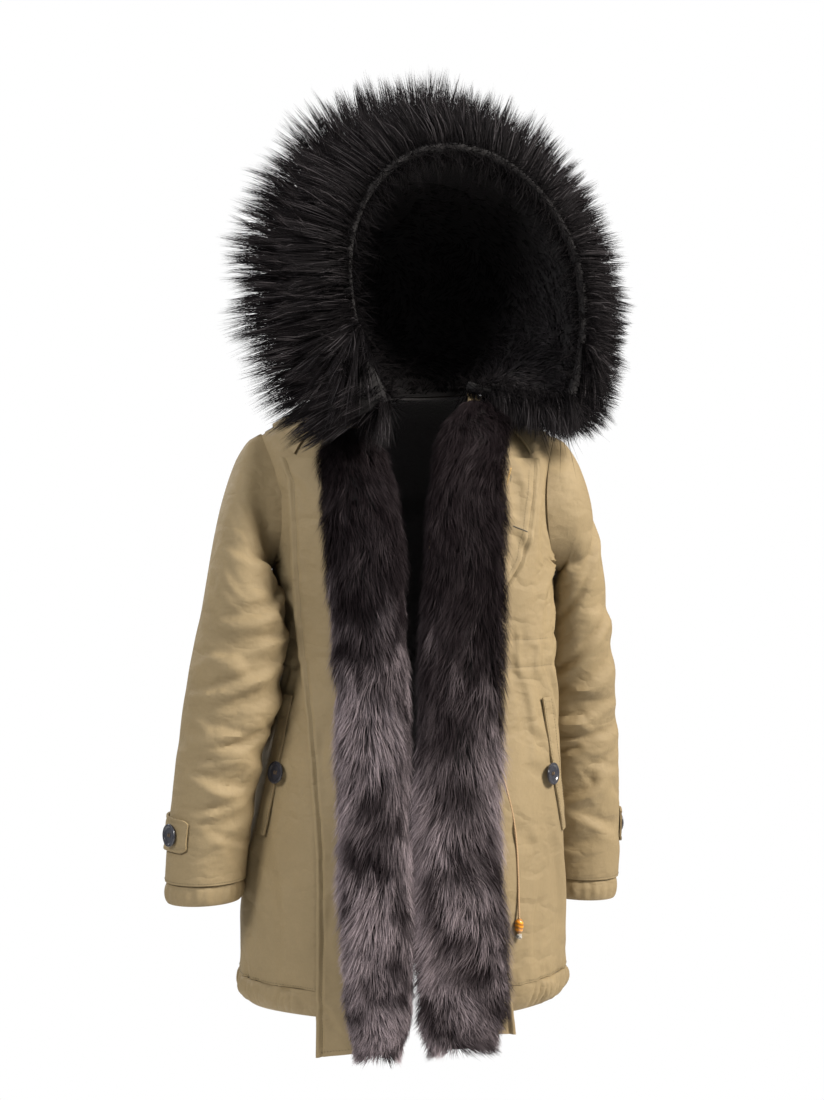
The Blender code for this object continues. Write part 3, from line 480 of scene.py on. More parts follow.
class Term:
    """A shader socket that takes part in Python arithmetic."""

    def __init__(self, finish, socket):
        self.finish = finish
        self.socket = socket

    def sum_of(self, operation, *values):
        return self.finish.node("ShaderNodeMath", {"operation": operation}, dict(enumerate(values)))

    def __add__(self, other):
        return self.sum_of("ADD", self, other)

    def __sub__(self, other):
        return self.sum_of("SUBTRACT", self, other)

    def __rsub__(self, other):
        return self.sum_of("SUBTRACT", other, self)

    def __mul__(self, other):
        return self.sum_of("MULTIPLY", self, other)

    def __pow__(self, other):
        return self.sum_of("POWER", self, other)

    __radd__ = __add__
    __rmul__ = __mul__


class Finish:
    """A new material, with one way to add any node to it."""

    def __init__(self, name):
        self.material = bpy.data.materials.new(name)
        self.material.use_nodes = True
        self.tree = self.material.node_tree
        self.shader = self.tree.nodes["Principled BSDF"]

    def node(self, kind, settings=None, inputs=None, output=0):
        made = self.tree.nodes.new(kind)
        for key, value in (settings or {}).items():
            if key == "stops":
                self.set_stops(made.color_ramp.elements, value)
            else:
                setattr(made, key, value)
        for key, value in (inputs or {}).items():
            self.feed(made.inputs[key], value)
        return Term(self, made.outputs[output])

    @staticmethod
    def set_stops(elements, stops):
        while len(elements) < len(stops):
            elements.new(0.5)
        for element, (place, colour) in zip(elements, stops):
            element.position = place
            element.color = colour

    def feed(self, socket, value):
        if isinstance(value, Term):
            self.tree.links.new(value.socket, socket)
        else:
            socket.default_value = value

    def place(self):
        return self.node("ShaderNodeTexCoord", output=3)

    def mix(self, share, first, second):
        inputs = {0: share, 6: first, 7: second}
        return self.node("ShaderNodeMix", {"data_type": "RGBA"}, inputs, output=2)

    def bands(self, place, scale, distortion, direction="DIAGONAL", detail=2.0, detail_scale=1.0):
        inputs = {"Vector": place, "Scale": scale, "Distortion": distortion, "Detail": detail,
                  "Detail Scale": detail_scale}
        look = {"wave_type": "BANDS", "bands_direction": direction}
        return self.node("ShaderNodeTexWave", look, inputs, output=1)

    def map_range(self, value, low, high, start=0.0, end=1.0):
        return self.node("ShaderNodeMapRange", {}, {0: value, 1: low, 2: high, 3: start, 4: end})

    def noise(self, place, scale, detail=3.0, roughness=0.5):
        inputs = {"Vector": place, "Scale": scale, "Detail": detail, "Roughness": roughness}
        return self.node("ShaderNodeTexNoise", {}, inputs)

    def bump(self, height, strength, distance, normal=None):
        inputs = {"Strength": strength, "Distance": distance, "Height": height}
        if normal is not None:
            inputs["Normal"] = normal
        return self.node("ShaderNodeBump", {}, inputs)

    def set(self, **inputs):
        for key, value in inputs.items():
            self.feed(self.shader.inputs[key.replace("_", " ")], value)
        return self.material


def tone(colour, share=1.0):
    """A colour of a property as a shader's four numbers, brightened or dimmed."""
    return tuple(min(c * share, 1.0) for c in colour[:3]) + (1.0,)


def settings():
    return bpy.context.scene.parka


def made_once(name, make):
    return bpy.data.materials.get(name) or make(name)


def cotton(name):
    """Brushed cotton twill: fine slanted ribs, uneven dye and a soft sheen."""
    f = Finish(name)
    colour = settings().cloth.colour
    place = f.place()
    thread = f.node("ShaderNodeUVMap", {"uv_map": "cloth"})
    worn = f.map_range(f.noise(place, 7.0, 5.0, 0.6), 0.32, 0.70)
    fleck = f.map_range(f.noise(place, 420.0, 2.0, 0.7), 0.3, 0.7)
    ribs = f.bands(thread, 420.0, 1.2, detail_scale=1.5)
    base = f.mix(worn, tone(colour, 0.86), tone(colour, 1.12))
    base = f.mix(fleck * 0.22, base, tone(colour, 0.66))
    base = f.mix(ribs * 0.16, base, tone(colour, 1.35))
    soft = f.noise(place, 34.0, 4.0, 0.55)
    stretched = f.node("ShaderNodeMapping", {}, {0: place, 3: (1.0, 1.0, 1.7)})
    folded = f.noise(stretched, 11.0, 3.0, 0.5)
    sharp = f.node("ShaderNodeMath", {"operation": "ABSOLUTE"}, {0: folded - 0.5})
    sharp = f.map_range(sharp, 0.0, 0.10)
    fine = f.bump(ribs + fleck * 0.6, 0.35, 0.0004, f.bump(sharp, 0.45, 0.0030))
    return f.set(
        Base_Color=base,
        Roughness=f.map_range(worn, 0.0, 1.0, 0.80, 0.68),
        Normal=f.bump(soft, 0.40, 0.005, fine),
        Sheen_Weight=0.12,
        Sheen_Roughness=0.5,
        Sheen_Tint=tone(colour, 2.2),
    )


def lining_cloth(name):
    f = Finish(name)
    colour = settings().fur.lining_colour
    pile = f.noise(f.place(), 260.0, 4.0, 0.7)
    base = f.mix(pile, tone(colour, 0.5), tone(colour, 1.9))
    return f.set(Base_Color=base, Roughness=0.85, Normal=f.bump(pile, 0.7, 0.002), Sheen_Weight=0.3)


def hair(name, colour, light, roughness, gloss):
    """Hair whose map holds its tint across and the place from root to tip upwards. The tint brings
    in the light colour towards the tip; on the facings and the ruff that colour is largely painted
    highlight.
    """
    f = Finish(name)
    place = f.node("ShaderNodeUVMap", {"uv_map": "OFBake"})
    parts = f.node("ShaderNodeSeparateXYZ", {}, {0: place})
    along = Term(f, parts.socket.node.outputs[1])
    # Darker towards the root: painted shade deep in the pile.
    root = f.mix(along ** 0.7, tone(colour, 0.30), tone(colour))
    base = f.mix(parts * along, root, tone(light))
    return f.set(
        Base_Color=base,
        Roughness=f.map_range(parts, 0.0, 1.0, roughness + 0.12, roughness - 0.08),
        Specular_IOR_Level=gloss,
    )


def facing_hair(name):
    fur = settings().fur
    return hair(name, fur.facing_colour, fur.facing_light, roughness=0.52, gloss=0.02)


def ruff_hair(name):
    fur = settings().fur
    return hair(name, fur.ruff_colour, fur.ruff_light, roughness=0.48, gloss=0.02)


def pelt(name):
    """The dense short fur at the foot of the long hair."""
    f = Finish(name)
    pile = f.noise(f.place(), 300.0, 4.0, 0.75)
    fur = settings().fur
    base = f.mix(pile, tone(fur.ruff_colour, 0.25), tone(fur.facing_colour, 0.9))
    return f.set(Base_Color=base, Roughness=0.9, Normal=f.bump(pile, 0.8, 0.002))


def horn(name):
    f = Finish(name)
    colour = settings().trims.button_colour
    place = f.place()
    cloud = f.map_range(f.noise(place, 90.0, 4.0, 0.6), 0.35, 0.7)
    base = f.mix(cloud, tone(colour, 0.72), tone(colour, 1.25))
    return f.set(
        Base_Color=base,
        Roughness=f.map_range(cloud, 0.0, 1.0, 0.24, 0.36),
        Normal=f.bump(f.noise(place, 900.0, 2.0), 0.06, 0.0004),
        Coat_Weight=0.35,
        Coat_Roughness=0.12,
    )


def thread(name, colour):
    f = Finish(name)
    twist = f.bands(f.place(), 600.0, 2.0)
    base = f.mix(twist, tone(colour, 0.7), tone(colour, 1.2))
    return f.set(Base_Color=base, Roughness=0.7, Normal=f.bump(twist, 0.3, 0.0003))


def seam_thread(name):
    return thread(name, settings().cloth.thread_colour)


def tan_thread(name):
    return thread(name, settings().trims.button_thread)


def grey_thread(name):
    return thread(name, (0.09, 0.085, 0.075, 1.0))


def frayed_thread(name):
    return thread(name, (0.42, 0.40, 0.36, 1.0))


def cord_cotton(name):
    f = Finish(name)
    colour = settings().trims.cord_colour
    place = f.place()
    braid = f.bands(place, 190.0, 1.0)
    fuzz = f.noise(place, 700.0, 3.0, 0.7)
    base = f.mix(braid, tone(colour, 0.62), tone(colour, 1.2))
    base = f.mix(fuzz * 0.35, base, tone(colour, 1.5))
    return f.set(Base_Color=base, Roughness=0.82, Normal=f.bump(braid + fuzz * 0.4, 0.6, 0.0005))


def amber(name):
    """Varnished wood with a dark grain that runs round the bead."""
    f = Finish(name)
    colour = settings().trims.bead_colour
    grain = f.bands(f.place(), 70.0, 5.0, "Z", 3.0)
    base = f.mix(grain, tone(colour, 0.35), tone(colour, 1.15))
    return f.set(
        Base_Color=base,
        Roughness=f.map_range(grain, 0.0, 1.0, 0.34, 0.22),
        Normal=f.bump(grain, 0.12, 0.0004),
        Coat_Weight=0.6,
        Coat_Roughness=0.08,
    )


def brass(name):
    f = Finish(name)
    scuff = f.map_range(f.noise(f.place(), 500.0, 3.0, 0.7), 0.3, 0.7)
    base = f.mix(scuff, (0.36, 0.22, 0.07, 1.0), (0.62, 0.44, 0.18, 1.0))
    return f.set(
        Base_Color=base,
        Roughness=f.map_range(scuff, 0.0, 1.0, 0.42, 0.26),
        Metallic=0.9,
        Normal=f.bump(scuff, 0.1, 0.0003),
    )


def tape(name):
    f = Finish(name)
    weave = f.noise(f.place(), 900.0, 2.0, 0.6)
    base = f.mix(weave, tone(settings().cloth.colour, 0.35), tone(settings().cloth.colour, 0.75))
    return f.set(Base_Color=base, Roughness=0.8, Normal=f.bump(weave, 0.4, 0.0004))


def pale_floor(name):
    f = Finish(name)
    grain = f.noise(f.place(), 3.0, 2.0)
    base = f.mix(grain, (0.72, 0.72, 0.72, 1.0), (0.76, 0.76, 0.76, 1.0))
    return f.set(Base_Color=base, Roughness=0.9)


# ---------------------------------------------------------------- meshes


def new_mesh(name, points, faces, finishes, uvs=None, uv_name="cloth", picks=None, sharp=50):
    """A mesh from arrays. Its faces all have one number of corners; uvs has a row a point."""
    points = np.asarray(points, np.float32)
    faces = np.asarray(faces, np.int32)
    count, corners = faces.shape
    mesh = bpy.data.meshes.new(name)
    mesh.vertices.add(len(points))
    mesh.vertices.foreach_set("co", points.ravel())
    mesh.loops.add(count * corners)
    mesh.loops.foreach_set("vertex_index", faces.ravel())
    mesh.polygons.add(count)
    mesh.polygons.foreach_set("loop_start", np.arange(0, count * corners, corners, dtype=np.int32))
    mesh.polygons.foreach_set("use_smooth", np.ones(count, bool))
    if picks is not None:
        mesh.polygons.foreach_set("material_index", np.asarray(picks, np.int32))
    if uvs is not None:
        layer = mesh.uv_layers.new(name=uv_name)
        layer.data.foreach_set("uv", np.asarray(uvs, np.float32)[faces.ravel()].ravel())
    mesh.update(calc_edges=True)
    if sharp:
        mesh.set_sharp_from_angle(angle=math.radians(sharp))
    for make in finishes:
        mesh.materials.append(made_once(make.__name__, make))
    obj = bpy.data.objects.new(name, mesh)
    bpy.context.scene.collection.objects.link(obj)
    return obj


def settle(obj, slot, *nodes):
    """The piece rides on the body and stands for its solids, which it hides. Its slot is not used.
    """
    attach(obj, "root")
    if nodes:
        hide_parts(*nodes)
    return obj


def quads(rows, columns, closed=False):
    """The faces of a grid of points, seen with u to the right and v downwards."""
    spans = columns if closed else columns - 1
    j, i = np.meshgrid(np.arange(rows - 1), np.arange(spans), indexing="ij")
    a = (j * columns + i).ravel()
    b = (j * columns + (i + 1) % columns).ravel()
    return np.stack((a, a + columns, b + columns, b), axis=1)


def lengths(points, axis):
    """How long the lines of a grid of points are along that axis, on average."""
    return float(np.linalg.norm(np.diff(points, axis=axis), axis=-1).sum(axis=axis).mean())


def area_of(points):
    sides = np.cross(points[1:, :-1] - points[:-1, :-1], points[:-1, 1:] - points[:-1, :-1])
    others = np.cross(points[1:, :-1] - points[1:, 1:], points[:-1, 1:] - points[1:, 1:])
    return float(np.linalg.norm(sides, axis=-1).sum() + np.linalg.norm(others, axis=-1).sum()) / 2


SKINS = {}

# The groups of a shell's edge faces that can wear its inner finish.
TOP_EDGE = 2
ALL_EDGES = (2, 3, 4, 5)


def shell(name, surface, us, vs, finishes, thickness=CLOTH, relief=None, lift=0.0, closed=False,
          dark_edges=()):
    """A thin cloth over the surface, of one thickness all over, whose folds are the relief."""

    def skin(u, v, proud=0.0):
        normal = normal_of(surface, u, v)
        low = lift(u, v) if callable(lift) else lift
        raised = relief(u, v) if relief else 0.0
        return surface(u, v) + normal * np.asarray(low + raised + thickness + proud)[..., None]

    SKINS[name] = skin
    u, v = np.meshgrid(us, vs)
    plain = surface(u, v)
    outer = skin(u, v)
    inner = skin(u, v, -thickness)
    rows, columns = u.shape
    count = rows * columns
    front = quads(rows, columns, closed)
    faces = [front[:, ::-1], front + count]
    spans = np.arange(columns if closed else columns - 1)
    for row, turn in ((0, -1), (rows - 1, 1)):
        a = row * columns + spans
        b = row * columns + (spans + 1) % columns
        faces.append(np.stack((a, b, count + b, count + a), axis=1)[:, ::turn])
    for column, turn in () if closed else ((0, 1), (columns - 1, -1)):
        a = np.arange(rows - 1) * columns + column
        faces.append(np.stack((a, a + columns, count + a + columns, count + a), axis=1)[:, ::turn])
    inside = [k == 0 or k in dark_edges for k in range(len(faces))]
    picks = np.concatenate([np.full(len(f), int(within and len(finishes) > 1))
                            for f, within in zip(faces, inside)])
    wide, long = lengths(plain, 1), lengths(plain, 0)
    uv = np.stack((u * wide, v * long), axis=-1).reshape(-1, 2)
    points = np.concatenate((inner.reshape(-1, 3), outer.reshape(-1, 3)))
    obj = new_mesh(name, points, np.concatenate(faces), finishes, np.concatenate((uv, uv)),
                   picks=picks)
    return obj, (wide, long, area_of(plain))


def cloth(name, nodes, held, surface, us, vs, finishes=None, rests_on=(), slot="olive_cotton",
          **shape):
    """A shell that stands for its solids. The size of its flat cut, with room for its folds, is
    worked out but not kept.
    """
    finishes = finishes or [cotton, lining_cloth]
    obj, (wide, long, area) = shell(f"cloth_{name}", surface, us, vs, finishes, **shape)
    settle(obj, slot, *nodes)
    wide, long = round(wide * FOLD_ROOM, 3), round(long * FOLD_ROOM, 3)
    whole = wide * long
    round(min(max(area * FOLD_ROOM, LEAST_CUT_SHARE * whole), whole), 5)


def stations(count, power=1.0):
    return np.linspace(0.0, 1.0, count) ** power


def ring_stations(count, whole=1.0):
    return np.linspace(0.0, whole, count, endpoint=False)


def stations_near(count, places, reach, extra=7):
    """Even stations with more of them close to some places, such as seams."""
    found = list(np.linspace(0.0, 1.0, count))
    for place in places:
        found += list(place + np.linspace(-reach, reach, extra))
    found = np.unique(np.round(np.clip(found, 0.0, 1.0), 6))
    keep = [found[0]]
    for value in found[1:]:
        if value - keep[-1] > reach / extra:
            keep.append(value)
    keep[-1] = 1.0
    return np.array(keep)


def stitches(name, lines, make, pitch=0.0036, share=0.66, radius=0.00052, proud=0.0002):
    """Runs of thread along lines on the cloth: each line is (skin, u values, v values).

    A stitch is a thin eight-sided spindle. Its corners are its two ends, then its top, its two
    sides and its underside.
    """
    points, faces = [], []
    for skin, us, vs in lines:
        t = np.linspace(0, 1, 400)
        u = np.interp(t, np.linspace(0, 1, len(us)), us)
        v = np.interp(t, np.linspace(0, 1, len(vs)), vs)
        path = skin(u, v, proud)
        above = unit(skin(u, v, proud + 0.001) - path)
        travel = travel_of(path)
        count = max(int(travel[-1] / pitch), 1)
        for start in (np.arange(count) + 0.2) * travel[-1] / count:
            at = start + np.array((0.0, 0.5, 1.0)) * pitch * share
            begin, middle, end = on_line(at, travel, path)
            up = unit(on_line(at[1], travel, above))
            side = unit(np.cross(end - begin, up)) * radius
            first = len(points)
            points += [begin, end, middle + up * radius * 0.9, middle + side, middle - side,
                       middle - up * radius]
            for a, b in ((2, 3), (3, 5), (5, 4), (4, 2)):
                faces.append((first, first + b, first + a))
                faces.append((first + 1, first + a, first + b))
    return new_mesh(name, points, faces, [make])


# ---------------------------------------------------------------- body


def ridge_height(x):
    """The height of the shoulder line at that x."""
    run = np.clip((np.abs(x) - NECK_HALF_WIDTH) / (SHOULDER_HALF_WIDTH - NECK_HALF_WIDTH), 0.0, 1.1)
    return -SHOULDER_DROP * (0.75 * run + 0.25 * run * run)


def shoulder_roll(x, height):
    """The share of the body's depth that its shoulder has rolled out to there."""
    at_neck = NAPE_DEPTH_SHARE * np.sqrt(np.maximum(0.0, 1 - (x / NECK_HALF_WIDTH) ** 2))
    below = np.clip((ridge_height(x) - height) / SHOULDER_ROLL_DEPTH, 0.0, 1.0)
    return at_neck + (1 - at_neck) * np.sqrt(1 - (1 - below) ** 2)


def body_point(angle, height):
    """A point of the body's inner side. The angle is 0 at the front and grows to the right."""
    across = signed_power(np.sin(angle), SQUARENESS)
    along = signed_power(np.cos(angle), SQUARENESS)
    x = BODY.at("half_width", height) * across
    depth = np.where(along > 0, BODY.at("front", height), BODY.at("back", height))
    y = -depth * along * shoulder_roll(x, height)
    return point_of(BODY.at("centre", height) + x, y, height)


def angle_at(x, height):
    """The angle at which the front has that x."""
    share = (x - BODY.at("centre", height)) / BODY.at("half_width", height)
    return np.arcsin(signed_power(np.clip(share, -1.0, 1.0), 1 / SQUARENESS))


def drape(angle, height):
    """The broad folds that hang from the waist, with its gathers."""
    near_waist = bell((height - WAIST) / WAIST_REACH)
    below = np.clip((WAIST - height) / 0.3, 0.0, 1.0)
    gather = WAIST_GATHER * near_waist * (1 + np.sin(WAIST_GATHERS_ROUND * angle + 0.7))
    fold = DRAPE * below * (1 + np.sin(DRAPES_ROUND * angle + 1.3 + 5 * height))
    return gather + fold


CREASE_DEPTH = 2.3
SMALL_CREASES = crumple_rows(
    SEED["creases"], 110, (-0.57, 0.57, -0.70, -0.08), 0.024, 0.0070, 0.0020)


def body_relief(angle, height):
    """All the folds of the body cloth, with the pucker along the two rows of the waist casing."""
    arc = (np.mod(angle + math.pi, WHOLE_TURN) - math.pi) * BODY_RADIUS
    folds = drape(angle, height) + CREASE_DEPTH * pressed(BODY_CREASES, arc, height)
    folds = folds + pressed(SMALL_CREASES, arc, height)
    for row in WAIST_ROWS:
        near = bell((height - row) / STITCH_GROOVE_WIDTH)
        pucker = drift(arc, height * 0.3, SEED["waist"], 0.009)
        around = bell((height - row) / WAIST_PUCKER_REACH)
        folds = folds - STITCH_GROOVE * near + WAIST_PUCKER * around * pucker
    between = bell((height - WAIST) / 0.016)
    gather = drift(arc, height * 0.1, SEED["casing"], 0.011)
    folds = folds + WAIST_PUFF * between * (0.4 + gather)
    hem = bell((height - PANEL_HEM) / 0.020)
    uneven = drift(arc, height * 0.15, SEED["hem"], 0.011)
    folds = folds + hem * (HEM_PUCKER * uneven - HEM_GATHER * gather_crease(angle))
    return np.maximum(folds + BODY_EASE, LEAST_RELIEF)


def under_lapel(side, angle, height):
    """The share of the front's relief that is left there, as a lapel presses it flat."""
    x = body_point(angle, height)[..., 0]
    past = SIDES[side] * (LAPELS.at(side + "_edge", height) - x)
    return 1 - 0.75 * smooth((past + 0.005) / 0.007) * smooth((LAPEL_TOP + 0.01 - height) / 0.02)


def gather_crease(angle):
    """1 in the sharp valleys between the hem's gathers, 0 on the gathers."""
    arc = angle * BODY_RADIUS
    wander = drift(arc, angle * 0.0, SEED["wander"], 0.030)
    valley = (1 - np.abs(np.sin(CASING_GATHERS_ROUND * angle + 2.2 * wander))) ** 1.6
    return valley * (0.65 + 0.35 * drift(arc, angle * 0.0, SEED["valleys"], 0.018))


def casing_fold(angle, share):
    """The hem casing's plump edge, its gathers and the small puckers above them."""
    plump = np.sin(math.pi * np.clip(share, 0.0, 1.0)) ** 0.7
    arc = angle * BODY_RADIUS
    uneven = drift(arc, share * 0.008, SEED["gathers"], 0.013)
    slanted = drift(arc + share * 0.012, share * 0.01, SEED["slants"], 0.009)
    lean = gather_crease(angle + 0.05 * (share - 0.5))
    swell = CASING_BULGE + CASING_GATHER * (1.0 + 0.3 * np.sin(13 * angle + 1)) - 0.0044 * lean
    return plump * np.maximum(swell + 0.0034 * uneven + 0.0016 * slanted, 0.0)


def armhole_cut(height, cut):
    """The angle that the armhole takes from the side seam at that height."""
    level = (height - ARMHOLE_CENTRE) / ARMHOLE_HALF_HEIGHT
    return cut * np.sqrt(np.maximum(0.0, 1 - level * level))


def top_at(angle):
    """The height of the shoulder line over that angle."""
    return ridge_height(BODY.at("half_width", 0.0) * signed_power(np.sin(angle), SQUARENESS))


def front_place(side):
    """u runs left to right over one front and v from the shoulder line to the hem."""
    sign = SIDES[side]
    neck = angle_at(LAPELS.at(side + "_fold", 0.0), 0.0)

    def place(u, v):
        from_fold = u if sign > 0 else 1 - u
        top = top_at(neck + (sign * SIDE_SEAM - neck) * from_fold)
        height = top + np.maximum(v, 0.0) * (PANEL_HEM - top)
        fold = angle_at(LAPELS.at(side + "_fold", height), height)
        seam = sign * (SIDE_SEAM - armhole_cut(height, ARMHOLE_CUT_FRONT))
        return fold + (seam - fold) * from_fold, height

    return place


def back_place(u, v):
    """u runs from the right side seam round the back to the left one."""
    swing = 1 - 2 * u
    top = top_at(swing * SIDE_SEAM)
    height = top + np.maximum(v, 0.0) * (PANEL_HEM - top)
    reach = SIDE_SEAM - armhole_cut(height, ARMHOLE_CUT_BACK)
    return math.pi - swing * reach, height


def level_share(place, u, height):
    """The v of a height on a panel at that u."""
    top = place(u, np.zeros_like(u))[1]
    return (height - top) / (PANEL_HEM - top)


def panel_surface(place, shift):
    """A panel's inner side, moved a little so that its seams stay open."""

    def surface(u, v):
        return body_point(*place(u, v)) + np.array((0.0, shift, 0.0))

    return surface


def casing_surface(panel):
    """The hem casing below a panel, which turns inwards at its foot."""

    def surface(u, v):
        point = panel(u, np.ones_like(v))
        inward = unit(point * np.array((1.0, 1.0, 0.0)))
        point[..., 2] = CASING_TOP + v * (CASING_BOTTOM - CASING_TOP)
        return point - inward * (0.006 * np.maximum(v, 0.0) ** 2)[..., None]

    return surface


def add_panel(name, place, shift, columns, casing_columns, covered=lambda u: 0.0,
              pressed_flat=lambda angle, height: 1.0):
    """One panel of the body and its hem casing, which lies flat where a lapel covers it."""
    surface = panel_surface(place, shift)
    seams = [float(np.mean(level_share(place, stations(9), row))) for row in WAIST_ROWS]
    rows = stations_near(100, seams, 0.012, 9)
    rows = rows[1:] if rows[1] > TOP_ROWS[-1] else rows[2:]
    nodes = ("back_panel", "back_skirt") if name == "back_panel" else (name,)
    cloth(name, nodes, "hung", surface, stations(columns), np.concatenate((TOP_ROWS, rows)),
          dark_edges=(TOP_EDGE,),
          relief=lambda u, v: body_relief(*place(u, v)) * pressed_flat(*place(u, v)))

    def gathered(u, v):
        angle = place(u, np.ones_like(v))[0]
        edge = (drape(angle, PANEL_HEM) + BODY_EASE) * (1 - 0.5 * np.clip(v, 0.0, 1.0))
        return edge + casing_fold(angle, v) * (1 - covered(u))

    casing = name.replace("front_", "").replace("_panel", "")
    cloth(f"hem_{casing}", [f"hem_casing_{casing}"], "gathered", casing_surface(surface),
          stations(casing_columns), stations(11), relief=gathered)


def add_tape(name, angles, heights, node):
    """A tape sewn over the inside of a seam."""

    def surface(u, v):
        height = heights[0] + v * (heights[1] - heights[0])
        return body_point(angles[0] + (angles[1] - angles[0]) * u, np.minimum(height, 0.0))

    columns, rows = (80, 6) if abs(angles[1] - angles[0]) > 1 else (5, 90)
    cloth(name, [node], "laid", surface, stations(columns), stations(rows),
          [lining_cloth, lining_cloth], thickness=TAPE, lift=-0.0022)


def add_stay(side):
    """The small stay that closes the shoulder's corner, under the collar's edge."""
    sign = SIDES[side]

    def surface(u, v):
        x, y = 0.158 + 0.0275 * u, (v - 0.5) * 0.040 * sign
        inner = shoulder_height(sign * np.minimum(x, 0.178), y) - 0.56 * np.maximum(x - 0.178, 0.0)
        return point_of(sign * x, y, np.maximum(inner, -0.066))

    cloth(f"stay_{side}", ["back_panel"], "laid", surface, stations(14), stations(18),
          [cotton, cotton], thickness=TAPE, lift=CLOTH)


# ---------------------------------------------------------------- collar and lapels


def shoulder_height(x, y):
    """The height of the body's surface under that point, found by halving."""
    high = ridge_height(x)
    low = high - SHOULDER_ROLL_DEPTH
    for _ in range(24):
        level = (high + low) / 2
        angle = angle_at(x, level)
        angle = np.where(y < 0, angle, math.pi - angle)
        above = np.abs(body_point(angle, level)[..., 1]) < np.abs(y)
        high = np.where(above, level, high)
        low = np.where(above, low, level)
    return level


def collar_surface(u, v):
    """On the shoulders: u runs from the right front end round the back, v outwards."""
    end = COLLAR_END + COLLAR_SLANT * v
    angle = end + u * 2 * (math.pi - end)
    forward = np.cos(angle) > 0
    inner = np.where(forward, COLLAR_INNER[1], COLLAR_INNER[2])
    outer = np.where(forward, COLLAR_OUTER[1], COLLAR_OUTER[2])
    half_width = COLLAR_INNER[0] + (COLLAR_OUTER[0] - COLLAR_INNER[0]) * v
    half_depth = inner + (outer - inner) * v
    x = half_width * np.sin(angle)
    y = -half_depth * np.cos(angle)
    return point_of(x, y, shoulder_height(x, y))


def front_spot(x, height, lift, along=0.0):
    """The point, and the normal, that far out from the front at that x and that far along it."""
    x, height = np.broadcast_arrays(np.asarray(x, float), np.asarray(height, float))
    reach = np.maximum(height, PANEL_HEM)
    turn, step = 0.02, 0.002
    angle = angle_at(x, reach)
    across = body_point(angle + turn, reach) - body_point(angle - turn, reach)
    angle = angle + along * 2 * turn / np.linalg.norm(across, axis=-1)
    across = body_point(angle + turn, reach) - body_point(angle - turn, reach)
    down = body_point(angle, reach - step) - body_point(angle, reach + step)
    normal = unit(np.cross(down, across))
    below = (height < PANEL_HEM)[..., None]
    normal = np.where(below, unit(normal * np.array((1.0, 1.0, 0.0))), normal)
    point = body_point(angle, reach)
    point[..., 2] = np.where(height < PANEL_HEM, height, point[..., 2])
    return point + normal * np.asarray(lift + drape(angle, reach))[..., None], normal


def on_front(x, height, lift):
    return front_spot(x, height, lift)[0]


def lapel_lift(height):
    """How far a lapel lies off its front: it swings out at the hem."""
    return LAPEL_LIFT + LAPEL_SWING * smooth((LAPEL_SWING_FROM - height) / 0.12)


def lapel_place(side):
    """u runs left to right over a lapel and v down it, as (x, height)."""
    sign = SIDES[side]
    edge_bottom, fold_bottom = LAPEL_BOTTOMS[side]

    def place(u, v):
        from_fold = u if sign > 0 else 1 - u
        bottom = fold_bottom + (edge_bottom - fold_bottom) * np.clip(from_fold, 0.0, 1.0)
        height = LAPEL_TOP + v * (bottom - LAPEL_TOP)
        fold = LAPELS.at(side + "_fold", height) + sign * 0.004
        edge = LAPELS.at(side + "_edge", height)
        return fold + (edge - fold) * from_fold, height

    return place


def lapel_inset(side, v, inset):
    """The u of the line that runs that far inside a lapel's free edge."""
    height = LAPEL_TOP + v * (LAPEL_BOTTOMS[side][0] - LAPEL_TOP)
    fold = LAPELS.at(side + "_fold", height) + SIDES[side] * 0.004
    share = inset / np.abs(LAPELS.at(side + "_edge", height) - fold)
    return 1 - share if side == "right" else share


# Creases of the two lapels: x, height, half length, half width, slant in degrees, depth.
LAPEL_CREASES = {
    "left": (
        (-0.142, -0.115, 0.020, 0.006, -48, -0.0016), (-0.128, -0.210, 0.030, 0.006, 80, -0.0012),
        (-0.120, -0.330, 0.022, 0.005, 24, -0.0012), (-0.112, -0.440, 0.040, 0.006, 84, -0.0012),
        (-0.108, -0.520, 0.020, 0.005, -30, -0.0010), (-0.106, -0.640, 0.035, 0.006, 80, -0.0012),
        (-0.108, -0.742, 0.016, 0.004, -46, -0.0018), (-0.100, -0.760, 0.018, 0.004, -30, -0.0014),
    ),
    "right": (
        (0.117, -0.120, 0.034, 0.007, -76, -0.0022), (0.124, -0.190, 0.030, 0.006, -64, -0.0016),
        (0.110, -0.240, 0.026, 0.006, 60, -0.0012), (0.098, -0.740, 0.016, 0.005, 40, -0.0012),
    ),
}


def lapel_relief(side):
    """A lapel's creases, its stitched groove and its plump edge."""
    place = lapel_place(side)

    def relief(u, v):
        x, height = place(u, v)
        from_edge = np.abs(x - LAPELS.at(side + "_edge", height))
        folds = pressed(LAPEL_CREASES[side], x, height)
        pucker = drift(height, x * 0.2, SEED["lapel_pucker"], 0.010)
        pucker = pucker * bell((from_edge - 0.006) / 0.007)
        groove = LAPEL_GROOVE * bell((from_edge - LAPEL_STITCH) / LAPEL_GROOVE_WIDTH)
        beading = 0.0016 * bell((from_edge - 0.0026) / 0.0024) + 0.0036 * bell(from_edge / 0.010)
        soft = 0.0009 * drift(x, height, SEED["lapel"], 0.020)
        return np.maximum(0.0022 + 1.4 * folds + 0.0011 * pucker + soft - groove + beading, 0.0002)

    return relief


# ---------------------------------------------------------------- sleeves


